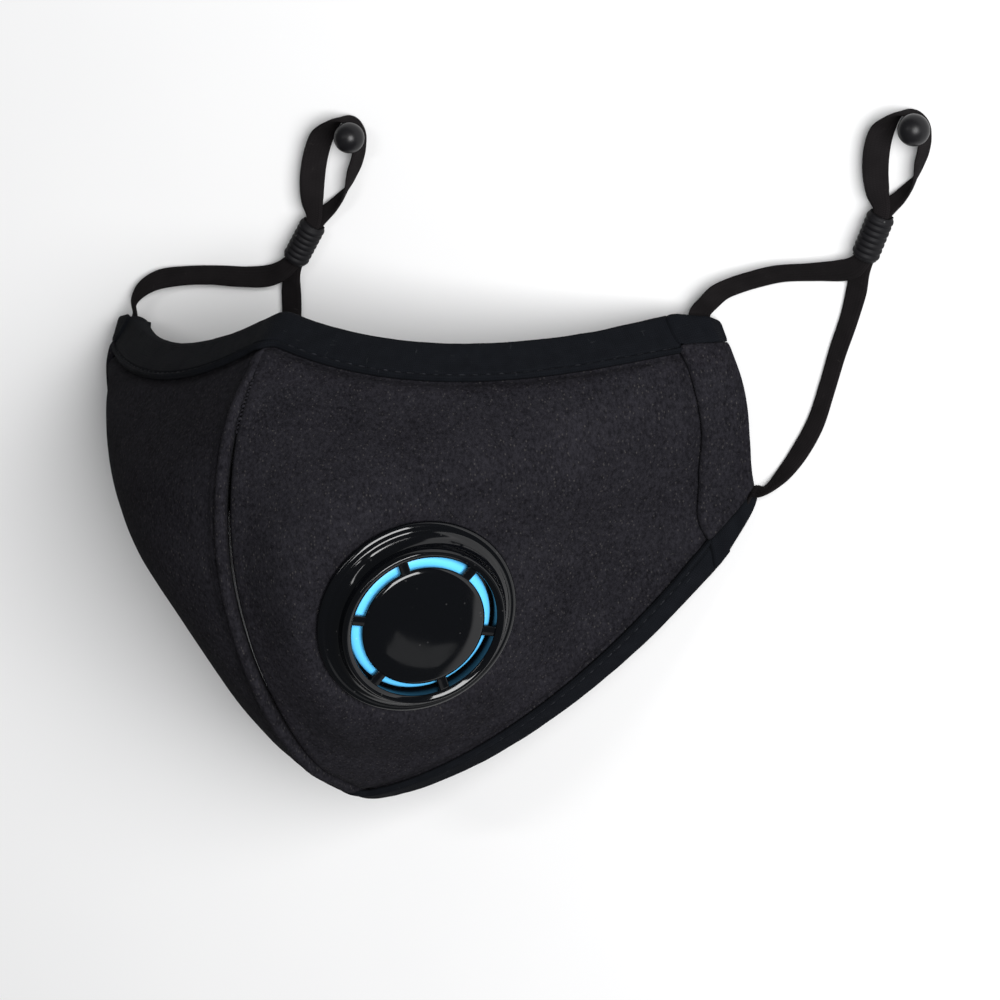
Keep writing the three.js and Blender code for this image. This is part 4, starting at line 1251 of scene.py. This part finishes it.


# For each cloth, the colour after the share is the painted shade in the hollows between its yarns.
sewn_cloth("knit_binding", courses, {"Stitch": 0.55}, 0.45, 0.35, (0.0036, 0.0041, 0.0054),
           (0.0074, 0.0084, 0.0108), 0.5, (0.0016, 0.0018, 0.0023), (0.06, 0.063, 0.066), 0.00006)
sewn_cloth("elastic", woven, {"Pick": 0.36, "Rib": 0.78}, 0.5, 0.22, (0.0066, 0.0059, 0.0063),
           (0.0142, 0.0125, 0.0132), 0.6, (0.0022, 0.0020, 0.0021), (0.065, 0.06, 0.056), 0.00007)

tree, shader = finish("thread", Roughness=0.7, Specular_IOR_Level=0.05)
twist = put(tree, "TexWave", {"Vector": place_m(tree), "Scale": 900.0, "Distortion": 2.0}, "Fac",
            bands_direction="DIAGONAL")
colour = blend_colours(tree, twist, (0.0075, 0.008, 0.0098), (0.018, 0.019, 0.023))
coat(tree, shader, colour, twist, 0.00004)


def plastic(name, specular, base, wear, tint, dust, relief, strength=0.5):
    """Plastic of one tint, whose base roughness wear adds to."""
    tree, shader = finish(name, Specular_IOR_Level=specular)
    worn = use(tree, handled, Vector=place_m(tree), Wear=wear, Base_Roughness=base)
    wire(tree, worn["Roughness"], shader.inputs["Roughness"])
    coat(tree, shader, blend_colours(tree, worn["Dust"], tint, dust), worn["Height"], relief, strength)


SOFT_TINT, SOFT_DUST = (0.0068, 0.0066, 0.0076), (0.06, 0.06, 0.06)
plastic("gloss_black", 0.34, 0.07, 0.5, (0.0018, 0.0021, 0.0028), (0.04, 0.04, 0.04), 0.00001, 0.3)
plastic("blue_plastic", 0.4, 0.35, 0.6, (0.118, 0.56, 1.0), (0.3, 0.6, 0.8), 0.00003)
plastic("soft_black", 0.11, 0.55, 1.0, SOFT_TINT, SOFT_DUST, 0.00004)
plastic("bead_black", 0.21, 0.32, 1.0, SOFT_TINT, SOFT_DUST, 0.00004)

FINISH_OF = (
    ("thread", ("top_band_stitches", "chin_band_stitches")),
    ("foam_fabric", ("panel", "hem_channel", "hem_stitches", "seam_overlock")),
    ("knit_binding", ("top_band", "chin_band", "hem_top_collar", "hem_chin_collar")),
    ("elastic", ("ear_loop",)),
    ("gloss_black", ("valve_base", "valve_back_ring", "valve_cap")),
    ("bead_black", ("bead",)),
    ("blue_plastic", ("valve_membrane",)),
    ("soft_black", ("adjuster",)),
)
finished = 0
for piece in bpy.context.scene.objects:
    if piece.type != "MESH" or piece.hide_render:
        continue
    for finish_name, starts in FINISH_OF:
        if piece.name.startswith(starts):
            piece.data.materials.clear()
            piece.data.materials.append(finishes[finish_name])
            finished += 1
            break
print("pieces finished", finished)

# %% [markdown]
# ## Table and light
#
# A plain pale table and soft light. The key is a large softbox near the camera, a little to the right,
# which lights the left panel and leaves the right one dark. A long strip behind gives the valve's
# rims their thin bright lines, and a low card puts a soft patch on the lower half of its disc.

# %% Stage
FLOOR_RADIUS = 3.0
floor_points = [(FLOOR_RADIUS * math.cos(a), FLOOR_RADIUS * math.sin(a), 0.0) for a in circle(96)]
floor_mesh = bpy.data.meshes.new("floor")
floor_mesh.from_pydata(floor_points, [], [tuple(range(len(floor_points)))])
floor = bpy.data.objects.new("floor", floor_mesh)
bpy.context.scene.collection.objects.link(floor)
tree, shader = finish("table", Roughness=0.75, Specular_IOR_Level=0.2)
mottle = cloud(tree, place_m(tree), 14.0, 4.0)
colour = blend_colours(tree, mottle, (0.86, 0.86, 0.865), (0.90, 0.90, 0.90))
wire(tree, colour, shader.inputs["Base Color"])
floor_mesh.materials.append(finishes["table"])

world = bpy.data.worlds.new("studio")
world.use_nodes = True
sky = world.node_tree.nodes["Background"].inputs
sky["Color"].default_value, sky["Strength"].default_value = (0.96, 0.98, 1.0, 1), 0.10
bpy.context.scene.world = world


def softbox(name, direction, away, size, watts, level=(0, 0, 1)):
    """A rectangular light that faces the mask, its upper edge toward level."""
    data = bpy.data.lights.new(name, "AREA")
    data.shape, data.size, data.size_y, data.energy = "RECTANGLE", size[0], size[1], watts
    lamp = bpy.data.objects.new(name, data)
    back = Vector(direction).normalized()
    right = Vector(level).cross(back).normalized()
    turn = Matrix((right, back.cross(right), back)).transposed().to_4x4()
    lamp.matrix_world = Matrix.Translation(LOOK_AT + back * away) @ turn
    bpy.context.scene.collection.objects.link(lamp)


softbox("key", (0.73, 0.12, 0.67), 1.5, (0.8, 0.8), 37)
softbox("back_strip", (-0.05, 0.40, 0.90), 1.4, (0.7, 0.08), 1.8)
softbox("low_card", (0.725, -0.92, 0.31), 0.9, (0.30, 0.14), 0.07, level=CAMERA_UP)
